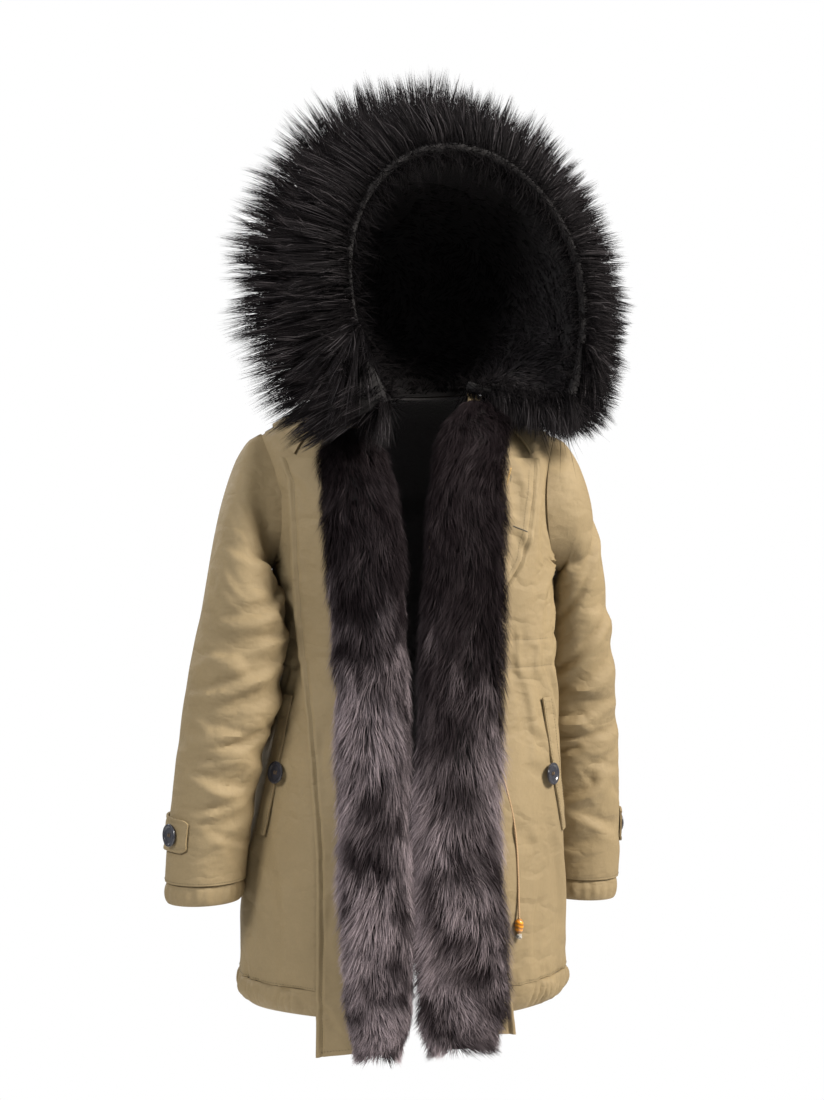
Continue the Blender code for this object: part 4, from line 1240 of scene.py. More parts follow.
def armhole_point(side, turn):
    """A point of the armhole's edge, just proud of the body's cloth."""
    height = ARMHOLE_CENTRE + ARMHOLE_HALF_HEIGHT * np.cos(turn)
    front = np.sin(turn) > 0
    cut = np.where(front, ARMHOLE_CUT_FRONT, ARMHOLE_CUT_BACK)
    angle = SIDE_SEAM - cut * np.abs(np.sin(turn))
    angle = np.where(front, angle, math.pi - angle)
    sign = SIDES[side]
    across = body_point(sign * (angle + 0.01), height) - body_point(sign * (angle - 0.01), height)
    down = body_point(sign * angle, height - 0.002) - body_point(sign * angle, height + 0.002)
    normal = unit(np.cross(down, across)) * sign
    return body_point(sign * angle, height) + normal * (CLOTH + ARMHOLE_LIFT)


def sleeve_ring(side, run, turn):
    """A point of the sleeve's inner side, at that run down it and turn round it."""
    table = SLEEVES[side]
    outer_x, outer_z, inner_x, inner_z = (table.at(n, run) for n in SLEEVE_NAMES[1:5])
    x = (outer_x + inner_x) / 2 + (outer_x - inner_x) / 2 * np.cos(turn)
    z = (outer_z + inner_z) / 2 + (outer_z - inner_z) / 2 * np.cos(turn)
    y = table.at("centre_y", run) - table.at("half_depth", run) * signed_power(np.sin(turn), 0.95)
    return point_of(SIDES[side] * x, y, z)


def sleeve_turn(side, u):
    return WHOLE_TURN * (u if SIDES[side] < 0 else -u)


def sleeve_surface(side, start=0.0, end=1.0):
    """u runs round the sleeve and v down it. The first ring is the armhole."""

    def surface(u, v):
        run = start + (end - start) * v
        turn = sleeve_turn(side, u)
        eased = smooth(run / 0.10)[..., None]
        ring = sleeve_ring(side, np.maximum(run, 0.06), turn)
        return armhole_point(side, turn) * (1 - eased) + ring * eased

    return surface


def add_armhole_tape(side):
    """The tape inside the armhole's seam."""
    ring = sleeve_surface(side)

    def surface(u, v):
        start = ring(u, 0.0 * v)
        way = unit(start - ring(u, 0.0 * v + 0.03))
        return start + way * (0.0065 - 0.013 * v)[..., None]

    cloth(f"armhole_tape_{side}", [f"sleeve_{side}"], "laid", surface, ring_stations(84),
          stations(6), thickness=TAPE, lift=-SEAM_GAP, closed=True)


def creases(side, run, turn):
    """The broad troughs of a sleeve."""
    total = 0.0
    for place, about, run_reach, round_reach, slant, depth in SLEEVE_CREASES[side]:
        swing = np.mod(np.degrees(turn) - about + 180, 360) - 180
        along = (run - place - slant * swing / 90) / run_reach
        fade = bell(swing / round_reach)
        total = total + depth * fade * (bell(along) - 0.7 * bell(along - 1.7))
    return total


SLEEVE_LENGTH = 0.60
SLEEVE_RADIUS = 0.048
SLEEVE_ROUND = 0.30
SLEEVE_FOLD_DEPTH = 1.9

# Sharper folds of each sleeve: turn and slant in degrees, all else but the run in metres.
# Turn, run, half length, half width, slant, depth.
SLEEVE_FOLDS = {
    "left": (
        (112, 0.190, 0.034, 0.0065, -38, -0.0030), (78, 0.235, 0.030, 0.0060, -20, -0.0022),
        (128, 0.300, 0.040, 0.0060, -44, -0.0036), (96, 0.345, 0.042, 0.0070, -30, -0.0034),
        (138, 0.375, 0.030, 0.0055, -26, -0.0028), (82, 0.420, 0.044, 0.0070, -28, -0.0036),
        (120, 0.455, 0.038, 0.0060, -36, -0.0030), (70, 0.500, 0.040, 0.0065, -20, -0.0034),
        (108, 0.530, 0.044, 0.0065, -30, -0.0036), (84, 0.590, 0.036, 0.0060, 14, -0.0028),
        (118, 0.620, 0.042, 0.0065, -24, -0.0032), (76, 0.665, 0.030, 0.0055, -14, -0.0022),
        (104, 0.720, 0.036, 0.0060, 12, -0.0024), (92, 0.775, 0.034, 0.0060, -16, -0.0022),
        (120, 0.850, 0.030, 0.0060, 24, -0.0018), (250, 0.320, 0.040, 0.0065, 32, -0.0030),
        (285, 0.430, 0.044, 0.0065, -24, -0.0032), (240, 0.500, 0.040, 0.0065, 28, -0.0030),
        (270, 0.590, 0.044, 0.0065, -18, -0.0032), (300, 0.690, 0.036, 0.0060, 20, -0.0024),
        (245, 0.780, 0.034, 0.0060, -22, -0.0020),
    ),
    "right": (
        (112, 0.200, 0.026, 0.0060, -62, -0.0034), (60, 0.240, 0.032, 0.0065, 30, -0.0022),
        (95, 0.300, 0.040, 0.0065, 40, -0.0026), (70, 0.400, 0.040, 0.0065, 26, -0.0028),
        (110, 0.445, 0.036, 0.0060, 30, -0.0030), (88, 0.495, 0.042, 0.0065, 16, -0.0034),
        (66, 0.545, 0.036, 0.0060, -10, -0.0026), (104, 0.570, 0.042, 0.0062, 8, -0.0034),
        (80, 0.620, 0.044, 0.0062, 4, -0.0034), (112, 0.650, 0.036, 0.0058, 18, -0.0028),
        (64, 0.690, 0.030, 0.0055, -18, -0.0020), (96, 0.750, 0.036, 0.0060, 22, -0.0024),
        (78, 0.820, 0.034, 0.0060, -26, -0.0022), (108, 0.875, 0.028, 0.0055, 14, -0.0018),
        (250, 0.320, 0.040, 0.0065, -32, -0.0030), (285, 0.430, 0.044, 0.0065, 24, -0.0032),
        (240, 0.520, 0.040, 0.0065, -28, -0.0030), (270, 0.610, 0.044, 0.0065, 18, -0.0032),
        (300, 0.700, 0.036, 0.0060, -20, -0.0024),
    ),
}
SMALL_SLEEVE_CREASES = {
    side: crumple_rows(
        SEED["sleeve_creases"] + k, 80, (0.0, SLEEVE_ROUND, 0.06, 0.54), 0.022, 0.0044, 0.0019)
    for k, side in enumerate(SIDES)
}


def sleeve_relief(side, start, end):
    def relief(u, v):
        run = start + (end - start) * v
        turn = sleeve_turn(side, u)
        arc, along = np.mod(turn, WHOLE_TURN) * SLEEVE_RADIUS, run * SLEEVE_LENGTH
        small = pressed(SMALL_SLEEVE_CREASES[side], arc, along)
        folds = [(math.radians(about) * SLEEVE_RADIUS, place * SLEEVE_LENGTH, *rest)
                 for about, place, *rest in SLEEVE_FOLDS[side]]
        small = small + SLEEVE_FOLD_DEPTH * pressed(folds, arc, along)
        before_seam = smooth((SLEEVE_ROUND - arc) / 0.03)
        after_seam = smooth(arc / 0.03)
        small = small * smooth(run / 0.1) * before_seam * after_seam
        soft = 0.0010 * drift(arc, along, SEED["sleeve"] + SIDES[side], 0.03)
        soft = soft * before_seam * after_seam
        ease = SLEEVE_EASE * np.clip(run / 0.2, 0.0, 1.0)
        plump = ease + 0.0020 * smooth(run / 0.2)
        return np.maximum(plump + creases(side, run, turn) + small + soft, 0.0)

    return relief


def cuff_relief(u, v):
    plump = np.sin(math.pi * np.clip(v, 0.0, 1.0)) ** 0.6
    uneven = 0.25 * np.sin(WHOLE_TURN * 23 * u + 1)
    return CUFF_BULGE * plump * (1.4 + 0.4 * np.sin(WHOLE_TURN * CUFF_GATHERS * u) + uneven)


def tab_mapping(side):
    """Where a cuff tab lies on its sleeve: it narrows to its buttoned end."""
    tab = TABS[side]
    first, last = (tab["start"], tab["end"]) if side == "left" else (-tab["end"], -tab["start"])

    def mapping(u, v):
        from_end = (1 - u if side == "left" else u) * 9
        narrow = 0.10 * np.maximum(0.0, 1 - from_end) ** 2
        share = narrow + (1 - 2 * narrow) * v
        return (first + (last - first) * u) / 360, TAB_RUN[0] + (TAB_RUN[1] - TAB_RUN[0]) * share

    return mapping


def sleeve_spot(side, run, turn, lift):
    """The point, and the normal, that far out from a sleeve."""
    surface = sleeve_surface(side)
    u = np.asarray(math.radians(turn) / WHOLE_TURN * (1 if side == "left" else -1))
    run = np.asarray(run)
    normal = normal_of(surface, u, run)
    raised = sleeve_relief(side, 0.0, 1.0)(u, run)
    return surface(u, run) + normal * (lift + raised), normal


# ---------------------------------------------------------------- hood


def hood_axes():
    """The hood's own directions to its right, back and up: it is turned and leans."""
    right = np.array((math.cos(HOOD_TURN), math.sin(HOOD_TURN), 0.0))
    level_back = np.array((-math.sin(HOOD_TURN), math.cos(HOOD_TURN), 0.0))
    upright = np.array((0.0, 0.0, 1.0))
    up = upright * math.cos(HOOD_LEAN) + level_back * math.sin(HOOD_LEAN)
    back = level_back * math.cos(HOOD_LEAN) - upright * math.sin(HOOD_LEAN)
    return right, back, up


def rim_point(turn):
    """A point of the hood's opening, whose turn is 0 at the top."""
    right, back, up = hood_axes()
    below = np.cos(turn) < 0
    reach = np.where(below, signed_power(np.sin(turn), RIM_SQUARENESS), np.sin(turn))
    height = np.cos(turn) * np.where(below, RIM_DROP, RIM_RISE)
    sag = RIM_SAG * (1 - np.cos(turn)) / 2
    return (RIM_CENTRE + right * (RIM_HALF_WIDTH * reach)[..., None] + up * height[..., None]
            - back * sag[..., None])


def neck_seam_point(turn):
    """The point of the neck seam that belongs to that turn of the opening."""
    angle = math.pi + turn / RIM_END * (math.pi - NECK_SEAM_END)
    depth = np.where(np.cos(angle) > 0, NECK_SEAM_FRONT, NECK_SEAM_BACK)
    x = -NECK_SEAM_HALF_WIDTH * np.sin(angle)
    rise = NECK_SEAM_RISE * np.clip(np.cos(angle) / math.cos(NECK_SEAM_END), 0.0, 1.0)
    return point_of(x, -depth * np.cos(angle), NECK_SEAM_HEIGHT + rise)


def hood_point(u, v):
    """u runs left to right over the head and v from the front edge back to the neck seam."""
    u, v = np.broadcast_arrays(np.asarray(u, float), np.asarray(v, float))
    turn = (2 * u - 1) * RIM_END
    right, back, up = hood_axes()
    start = rim_point(turn)
    end = neck_seam_point(turn)
    crown = (np.cos(turn / 2) ** 2)[..., None]
    low = (np.maximum(0.0, np.cos(turn) / math.cos(RIM_END)) ** 2)[..., None]
    outward = right * np.sin(turn)[..., None] + up * np.cos(turn)[..., None]
    away = unit(end * np.array((1.0, 1.0, 0.0)))
    first = start + back * (0.05 + 0.19 * crown) + outward * 0.022
    second = end + away * (0.045 + 0.105 * crown) + up * (0.006 + 0.124 * crown)
    first = first + (start + (end - start) / 3 - up * 0.003 - first) * low
    second = second + (end + (start - end) / 3 - up * 0.003 - second) * low
    v = v[..., None]
    rest = 1 - v
    return start * rest**3 + first * 3 * v * rest**2 + second * 3 * v * v * rest + end * v**3


def hood_surface(u, v):
    return hood_point(1 - u, v)


def ruff_frame(u):
    """At that place round the opening: the ruff's middle, its two directions and its reach."""
    ends = []
    for place in (0.0, RUFF_BAND):
        v = np.full_like(u, place)
        normal = normal_of(hood_surface, 1 - u, v)
        ends.append(hood_point(u, v) + normal * (CLOTH + LAY_GAP + 2 * FACET_EASE))
    left_end = np.clip(1 - u / RUFF_LEFT_SHARE, 0.0, 1.0) ** 1.5
    turn = (2 * u - 1) * RIM_END * (RUFF_DROOP - RUFF_LEFT_RISE * left_end)
    right, _, up = hood_axes()
    outward = unit(right * np.sin(turn)[..., None] + up * np.cos(turn)[..., None])
    full = np.minimum(1.0, 0.78 + 6 * np.minimum(u, 1 - u))
    tuft = 1 + 0.03 * np.sin(17 * u * math.pi) + 0.02 * np.sin(29 * u * math.pi + 1)
    reach = RUFF.at("reach", u) * full * tuft
    return (ends[0] + ends[1]) / 2, unit(ends[1] - ends[0]), outward, reach, full


def ruff_point(u, sweep, share):
    """A point of the ruff that share of the way from its middle to the tips of its hair."""
    centre, spread, outward, reach, full = ruff_frame(u)
    back = hood_axes()[1]
    way = spread * (np.cos(sweep) * RUFF_FLATTEN)[..., None] + outward * np.sin(sweep)[..., None]
    lean = back * (0.016 * np.sin(sweep) * full * share)[..., None]
    return centre + way * (reach * share)[..., None] - lean


# ---------------------------------------------------------------- fur


def strands(name, make, stands_for, roots, tips, bow, width, tint, facing, rng, levels):
    """Hairs as narrow ribbons from root to tip, bent by their bow, that end in a point.

    The map holds each hair's tint across, in places a painted highlight, and the place from root to
    tip upwards.
    """
    count = len(roots)
    tint = np.clip(tint, 0.02, 0.98)
    way = tips - roots
    marks = np.linspace(0.0, 1.0, levels)
    side = unit(np.cross(way, facing))
    other = unit(np.cross(side, way))
    twist = rng.normal(0.0, 0.45, count)[:, None]
    side = side * np.cos(twist) + other * np.sin(twist)
    points, uvs = [], []
    for mark in marks:
        centre = roots + way * mark + bow * (2 * mark * (1 - mark))
        tints = np.stack((tint, np.full(count, 0.04 + 0.92 * mark)), axis=1)
        if mark < 1:
            half = side * (width * (1 - 0.75 * mark**1.4) / 2)[:, None]
            points += [centre - half, centre + half]
            uvs += [tints, tints]
        else:
            points.append(centre)
            uvs.append(tints)
    rows = 2 * (levels - 1) + 1
    base = np.arange(count) * rows
    faces = []
    for k in range(levels - 2):
        a = base + 2 * k
        faces += [np.stack((a, a + 1, a + 3), axis=1), np.stack((a, a + 3, a + 2), axis=1)]
    a = base + 2 * (levels - 2)
    faces.append(np.stack((a, a + 1, a + 2), axis=1))
    points = np.stack(points, axis=1).reshape(-1, 3)
    uvs = np.stack(uvs, axis=1).reshape(-1, 2)
    obj = new_mesh(name, points, np.concatenate(faces), [make], uvs, uv_name="OFBake", sharp=0)
    settle(obj, *stands_for)


def clumps(across, along, cell, rng):
    """For each hair, which tuft it belongs to and where that tuft's middle lies."""
    i, j = np.floor(across / cell).astype(int), np.floor(along / cell).astype(int)
    key = (i - i.min()) * 4096 + (j - j.min())
    kinds, member = np.unique(key, return_inverse=True)
    shift = rng.uniform(0.2, 0.8, (len(kinds), 2))[member]
    middle = np.stack(((i + shift[:, 0]) * cell, (j + shift[:, 1]) * cell), axis=1)
    return member, len(kinds), middle


def facing_spot(side, turn, share, rise, spread):
    """A place of a fur facing: turn round its dome, share down it, how tall and how wide."""
    sign = SIDES[side]
    eased = 0.5 - 0.5 * np.cos(math.pi * share)
    height = FUR_TOPS[side] + (FUR_BOTTOMS[side] - FUR_TOPS[side]) * (0.45 * eased + 0.55 * share)
    near_end = np.minimum(share * 26, (1 - share) * 62)
    end = np.sqrt(np.minimum(1.0, 0.12 + np.maximum(near_end, 0.0) / 2.2))
    inner = FURS.at(side + "_in", height)
    outer = FURS.at(side + "_out", height)
    centre, half = (inner + outer) / 2, (outer - inner) / 2 * sign * end
    pile = FURS.at("pile", height) * end
    over_collar = 0.0012 * np.clip((height + 0.16) / 0.04, 0.0, 1.0) if sign > 0 else 0.0
    base = lapel_lift(height) + CLOTH + LAY_GAP + 0.0003 + over_collar
    x = centre + half * spread * signed_power(np.cos(turn), 0.8)
    up = pile * rise * (0.5 + 0.5 * signed_power(np.sin(turn), 0.75))
    return on_front(x, height, base + up)


def fur_core(name, surface, us, vs, stands_for):
    """The dense foot of a fur as a closed body."""
    u, v = np.meshgrid(us, vs)
    points = surface(u, v)
    rows, columns = u.shape
    grid = quads(rows, columns, closed=True)
    points = points.reshape(-1, 3)
    caps = []
    faces = [grid[:, [0, 1, 2]], grid[:, [0, 2, 3]]]
    for start, turn, corners in ((0, -1, [1, 2, 3]), ((rows - 1) * columns, 1, [0, 1, 2])):
        ring = np.arange(start, start + columns)
        caps.append(points[ring].mean(axis=0))
        middle = np.full(columns, len(points) + len(caps) - 1)
        fan = np.stack((ring, np.roll(ring, -1), middle, middle), axis=1)[:, ::turn]
        faces.append(fan[:, corners])
    points = np.concatenate((points, caps))
    settle(new_mesh(name, points, np.concatenate(faces), [pelt], sharp=0), *stands_for)


# Fur: the size of a tuft, and how far the tips of its hair lean to its middle.
FACING_TUFT = 0.0070
FACING_LEAN = 0.22
RUFF_TUFT = 0.0085
RUFF_LEAN = 0.40
RUFF_END_TUFT = 0.011
DOME_ARC = 0.034
FACING_LENGTH = 0.74
FACING_END = 0.972
FACING_FLOW = 0.024


def add_facing_fur(side):
    """The facing's dense foot and its hair, which flows down in soft waves.

    Places on it are in metres: across is measured round its dome and along down its length.
    """
    sign = SIDES[side]
    stands_for = ("facing_fur", f"fur_facing_{side}")
    fur_core(f"fur_foot_{side}", lambda u, v: facing_spot(side, u, v, 0.50, 0.80),
             ring_stations(40, WHOLE_TURN) * sign, stations(120), stands_for)
    rng = np.random.default_rng(SEED["facing"] + sign)
    count = settings().fur.facing_hairs
    turn = rng.uniform(-0.22 * math.pi, 1.22 * math.pi, count)
    share = rng.uniform(-0.012, 0.99, count)
    on_length = np.clip(share, 0.0, 1.0)
    root = facing_spot(side, turn, on_length, 0.48, 0.78)
    across, along = turn * DOME_ARC, share * FACING_LENGTH

    def field(name, cell, a=across, b=along):
        return drift(a, b, SEED[name] + sign, cell)

    # Each hair leans to its tuft's middle, and swirls and locks of hair turn its tip aside.
    member, kinds, middle = clumps(across, along, FACING_TUFT, rng)
    tuft = rng.normal(size=(kinds, 3)).clip(-1.8, 1.8)[member]
    swirl = field("swirl", 0.050) + 0.5 * field("curl", 0.020)
    outer = np.cos(turn) * 0.5
    aim_across = (across + (middle[:, 0] - across) * FACING_LEAN + 0.010 * swirl
                  + 0.0018 * tuft[:, 0] - 0.006 * outer + 0.0022 * rng.normal(size=count))
    aim_along = (along + (middle[:, 1] - along) * FACING_LEAN
                 + FACING_FLOW * (1 + 0.12 * tuft[:, 1]) + 0.0045 * rng.normal(size=count))
    hill = field("hill", 0.032)
    rise = (0.95 - 0.10 * hill + 0.05 * tuft[:, 2]) * rng.uniform(0.86, 1.06, count)
    lock = field("lock", 0.026, across * 0.4)
    spread = rng.uniform(0.88, 1.05, count) + 0.05 * tuft[:, 1] + 0.09 * lock
    inner_low = smooth((-0.34 - root[:, 2]) / 0.10) * smooth(-np.cos(turn) * 2)
    spread = spread + 0.16 * inner_low
    reach = aim_along / FACING_LENGTH
    tip = facing_spot(side, aim_across / DOME_ARC, np.clip(reach, 0.0, FACING_END), rise, spread)
    tip[:, 2] -= np.maximum(reach - FACING_END, 0.0) * FACING_LENGTH * 0.55
    outward = unit(facing_spot(side, turn, on_length, 1.0, 1.0) - root)
    bow = outward * 0.0045 + 0.0012 * rng.normal(size=(count, 3))

    # The upper part is black. Below it the hair is paler, which is painted light: pale patches with
    # ragged edges are painted highlights, and the dark ones between them are painted shade.
    start = -0.20 if sign < 0 else -0.27
    ragged = along + 0.045 * field("ragged", 0.010, across, along * 0.25) + 0.02 * tuft[:, 2]
    # The hair is paler below the black upper part: painted light.
    painted_lit_lower = 0.03 + 0.97 * smooth((start + ragged - along - root[:, 2] + 0.05 * hill) / 0.20)
    bent = across + 0.35 * along * sign
    # The pale patches are painted highlights and the dark between them is painted shade.
    patch = 0.5 + 0.34 * field("patch", 0.030, bent, ragged * 0.5) + 0.26 * field("fleck", 0.021)
    patch = smooth(patch * 1.7 - 0.32)
    # How much of the painted highlight colour each hair takes.
    light = 0.06 + (0.86 if sign < 0 else 0.74) * patch
    tint = 0.02 + painted_lit_lower * light * rng.uniform(0.30, 1.25, count) + 0.02 * tuft[:, 0]
    width = rng.uniform(0.00045, 0.00088, count)
    strands(f"fur_hair_{side}", facing_hair, stands_for, root, tip, bow, width, tint, outward,
            rng, 3)


def hood_border(count):
    """The hood's whole front border, from its left neck end round the face to the right one."""
    face, neck = 400, 60
    u = np.concatenate((np.zeros(neck), np.linspace(0.0, 1.0, face), np.ones(neck)))
    v = np.concatenate((np.linspace(1.0, 0.0, neck), np.zeros(face), np.linspace(0.0, 1.0, neck)))
    line = hood_point(u, v) - normal_of(hood_surface, 1 - u, v) * 0.003
    travel = travel_of(line)
    at = np.linspace(0, travel[-1], count)
    return on_line(at, travel, line), np.interp(at, travel, u)


def round_border(turn, outward):
    """The way out of the rolled border at that turn round it, from the front outwards."""
    return np.cos(turn)[:, None] * -hood_axes()[1] + np.sin(turn)[:, None] * outward


def add_ruff():
    """The ruff's dense foot, the rolled border round the opening, and the hair on both."""

    def core(u, v):
        low = np.maximum(np.sin(u), -0.10)
        centre, spread, outward, reach, _ = ruff_frame(0.008 + 0.984 * v)
        way = spread * (np.cos(u) * RUFF_FLATTEN)[..., None] + outward * low[..., None]
        return centre + way * (reach * 0.44)[..., None]

    fur_core("fur_foot_ruff", core, ring_stations(24, WHOLE_TURN), stations(110), RUFF_PIECE)
    line, about = hood_border(BORDER_SPOTS)
    tube, faces = tube_points(line, BORDER_RADIUS, 12)
    settle(new_mesh("fur_foot_border", tube, faces, [pelt], sharp=0), *RUFF_PIECE)
    for k, side in enumerate(SIDES):
        add_ruff_hair(side, k)
    for side in SIDES:
        add_ruff_end(side)
    add_border_hair(line, about)


def add_ruff_hair(side, k):
    """The long hair of one half of the ruff, combed outwards and back in uneven tufts."""
    rng = np.random.default_rng(SEED["ruff"] + k)
    count = settings().fur.ruff_hairs
    _, back, up = hood_axes()
    u = rng.uniform(0.5 * k, 0.5 + 0.5 * k, count)
    front = rng.uniform(size=count) < 0.34
    sweep = np.where(front, rng.uniform(0.62, 1.0, count), rng.uniform(0.02, 0.98, count)) * math.pi
    across, along = u * OPENING_LENGTH, sweep * RUFF_SWEEP_LENGTH
    member, kinds, middle = clumps(across, along, RUFF_TUFT, rng)
    tuft = rng.normal(size=(kinds, 3)).clip(-1.8, 1.5)[member]
    share = rng.uniform(0.08, 0.42, count)

    # The front hair starts on the rolled border, the rest on the ruff's foot.
    edge, where = hood_border(2000)
    spots = edge[np.clip(np.searchsorted(where[400:1600], u) + 400, 0, 1999)]
    turn = rng.uniform(0, WHOLE_TURN, count)
    near = spots + BORDER_RADIUS * round_border(turn, unit(spots - RIM_CENTRE))
    root = np.where(front[:, None], near, ruff_point(u, sweep, share))
    aim_u = (u + (middle[:, 0] / OPENING_LENGTH - u) * RUFF_LEAN + 0.004 * tuft[:, 0]
             + 0.010 * drift(across, along, SEED["ruff_flow"], 0.05))
    aim_sweep = (sweep + (middle[:, 1] / RUFF_SWEEP_LENGTH - sweep) * RUFF_LEAN
                 + 0.08 * tuft[:, 1] - 0.16 * front)
    far = 0.98 + 0.05 * tuft[:, 2] - np.abs(rng.normal(0.0, 0.085, count))
    far = np.where(front, far * rng.uniform(0.55, 0.98, count), far)
    far = far * (1 + 0.07 * drift(across, along, SEED["ruff_reach"], 0.028))
    tip = ruff_point(np.clip(aim_u, 0.004, 0.996), np.clip(aim_sweep, 0.03, 3.11),
                     np.clip(far, 0.45, 1.06))
    aside = unit(np.cross(unit(tip - root), back))
    bend = 0.006 * drift(across, along, SEED["ruff_bend"], 0.05) + 0.003 * tuft[:, 0]
    bow = aside * bend[:, None] - back * np.where(front, 0.010, 0.001)[:, None] + up * 0.005
    bow = bow + 0.0020 * rng.normal(size=(count, 3))
    # About one hair in eight is pale: painted glints of light on the black ruff.
    glint_hair = rng.uniform(size=count) < 0.13
    tint = 0.02 + 0.05 * rng.uniform(size=count) + 0.55 * glint_hair + 0.03 * tuft[:, 2]
    width = rng.uniform(0.00055, 0.0011, count)
    facing = unit(root - RIM_CENTRE) * 0.6 - back * 0.8
    strands(f"fur_hair_ruff_{side}", ruff_hair, RUFF_PIECE, root, tip, bow, width, tint, facing,
            rng, 4)


def add_border_hair(line, about):
    """The short hair that stands round the rolled border, longer towards its two neck ends."""
    rng = np.random.default_rng(SEED["border"])
    count = settings().fur.border_hairs
    pick = rng.integers(0, BORDER_SPOTS, count)
    turn = rng.uniform(0, WHOLE_TURN, count)
    low = np.clip((0.10 - np.minimum(about[pick], 1 - about[pick])) / 0.10, 0.0, 1.0)
    out = unit(round_border(turn, unit(line[pick] - RIM_CENTRE)))
    root = line[pick] + out * 0.0045 + 0.0025 * rng.normal(size=(count, 3))
    length = rng.uniform(0.014, 0.032, count) * (1 + 0.35 * low)
    way = out * 0.75 + np.array((0.0, 0.0, -0.45)) + 0.40 * rng.normal(size=(count, 3))
    tip = root + way * length[:, None]
    tint = 0.02 + 0.05 * rng.uniform(size=count)
    width = rng.uniform(0.0006, 0.0010, count)
    strands("fur_hair_border", ruff_hair, RUFF_PIECE, root, tip, out * 0.003, width, tint, out,
            rng, 3)


def add_ruff_end(side):
    """The hair that falls from one end of the ruff over the collar and the facing's top."""
    rng = np.random.default_rng(SEED["ruff_end"])
    right = side == "right"
    count = settings().fur.end_hairs if right else settings().fur.end_hairs // 2
    v = rng.uniform(0.0, 0.80 if right else 0.95, count) ** 1.15
    u = rng.uniform(0.975, 1.0, count) if right else rng.uniform(0.0, 0.02, count)
    root = hood_point(u, v) + np.array((0.0, -0.006, 0.004)) + 0.003 * rng.normal(size=(count, 3))
    member, kinds, _ = clumps(v * 0.14, u * HOOD_WIDTH, RUFF_END_TUFT, rng)
    tuft = rng.normal(size=(kinds, 3)).clip(-1.6, 1.6)[member]
    length = rng.uniform(0.034, 0.056, count) * (1 - 0.25 * v if right else 1.25)
    length = length * (1 + 0.10 * tuft[:, 2])
    aside = 0.16 - 0.18 * v if right else 0.22 * v - 0.10
    fall = np.full(count, -0.90)
    flow = np.stack((aside + 0.10 * tuft[:, 0], -0.42 + 0.10 * tuft[:, 1], fall), axis=1)
    tip = root + unit(flow + 0.10 * rng.normal(size=(count, 3))) * length[:, None]
    bow = np.array((0.0, -0.009, 0.002)) + 0.0018 * rng.normal(size=(count, 3))
    # About one hair in eight is pale: painted glints.
    tint = 0.02 + 0.10 * rng.uniform(size=count) + 0.40 * (rng.uniform(size=count) < 0.12)
    width = rng.uniform(0.0006, 0.0010, count)
    facing = np.tile((0.1, -1.0, 0.2), (count, 1))
    strands(f"fur_hair_ruff_end_{side}", ruff_hair, RUFF_PIECE, root, tip, bow, width, tint,
            facing, rng, 4)


def add_lining_fur():
    """The hood's lining and its short pile, brushed towards the opening and down."""
    cloth("hood_lining", ["hood_lining"], "hung", hood_surface, stations(66), stations(36),
          [pelt, pelt], slot="lining_fur", thickness=0.0020, lift=-0.0040)
    rng = np.random.default_rng(SEED["lining"])
    count = settings().fur.lining_hairs
    u, v = rng.uniform(0.005, 0.995, count), rng.uniform(0.0, 0.99, count) ** 0.85
    inward = -normal_of(hood_surface, 1 - u, v)
    root = hood_point(u, v) + inward * 0.0042
    forward = unit(hood_point(u, v - 0.01) - hood_point(u, v + 0.01))
    swirl = drift(u * HOOD_WIDTH, v * HOOD_DEPTH, SEED["lining_swirl"], 0.03)
    side = unit(np.cross(forward, inward))
    flow = forward * 0.6 + np.array((0.0, 0.0, -0.8)) + side * (0.5 * swirl)[:, None]
    flow = unit(flow - inward * np.sum(flow * inward, axis=1)[:, None])
    length = 0.016 * rng.uniform(0.7, 1.3, count)
    way = inward * 0.35 + flow * 0.85 + 0.12 * rng.normal(size=(count, 3))
    tip = root + way * length[:, None]
    tint = 0.03 + 0.25 * rng.uniform(size=count) ** 1.5 + 0.25 * (0.5 + 0.5 * swirl) ** 2
    width = rng.uniform(0.0011, 0.0019, count)
    strands("fur_hair_lining", ruff_hair, ("lining_fur", "hood_lining"), root, tip, inward * 0.0025,
            width, tint, inward, rng, 3)


# ---------------------------------------------------------------- small pieces


def turned_points(profile, steps):
    """A profile of (radius, height) turned round its axis: its points and faces as arrays."""
    turn = ring_stations(steps, WHOLE_TURN)
    points = [(0.0, 0.0, profile[0][1])]
    for radius, height in profile[1:-1]:
        points += [(radius * math.cos(t), radius * math.sin(t), height) for t in turn]
    points.append((0.0, 0.0, profile[-1][1]))
    last = 1 + (len(profile) - 3) * steps
    faces = []
    for i in range(steps):
        j = (i + 1) % steps
        faces += [(0, 1 + i, 1 + j), (last + i, len(points) - 1, last + j)]
        for a in range(1, last, steps):
            faces += [(a + i, a + steps + i, a + steps + j), (a + i, a + steps + j, a + j)]
    return np.array(points), np.array(faces)


def tube_points(line, radius, steps):
    """A round thread along a line: its points and faces as arrays."""
    line = np.asarray(line, float)
    way = unit(np.gradient(line, axis=0))
    side = unit(np.cross(way, np.array((0.31, 0.17, 0.93))))
    other = np.cross(way, side)
    turn = ring_stations(steps, WHOLE_TURN)
    ring = side[:, None] * np.cos(turn)[:, None] + other[:, None] * np.sin(turn)[:, None]
    points = (line[:, None] + ring * radius).reshape(-1, 3)
    grid = quads(len(line), steps, closed=True)
    faces = [grid[:, [0, 1, 2]], grid[:, [0, 2, 3]]]
    ends = len(points)
    points = np.concatenate((points, line[:1], line[-1:]))
    i = np.arange(steps)
    j = (i + 1) % steps
    last = (len(line) - 1) * steps
    faces.append(np.stack((i, j, np.full(steps, ends)), axis=1))
    faces.append(np.stack((last + j, last + i, np.full(steps, ends + 1)), axis=1))
    return points, np.concatenate(faces)


def placed(points, place, normal):
    """Points built upright, moved to a place and turned along a normal."""
    turn = Vector([float(c) for c in normal]).to_track_quat("Z", "Y").to_matrix()
    return points @ np.array(turn).T + np.asarray(place)


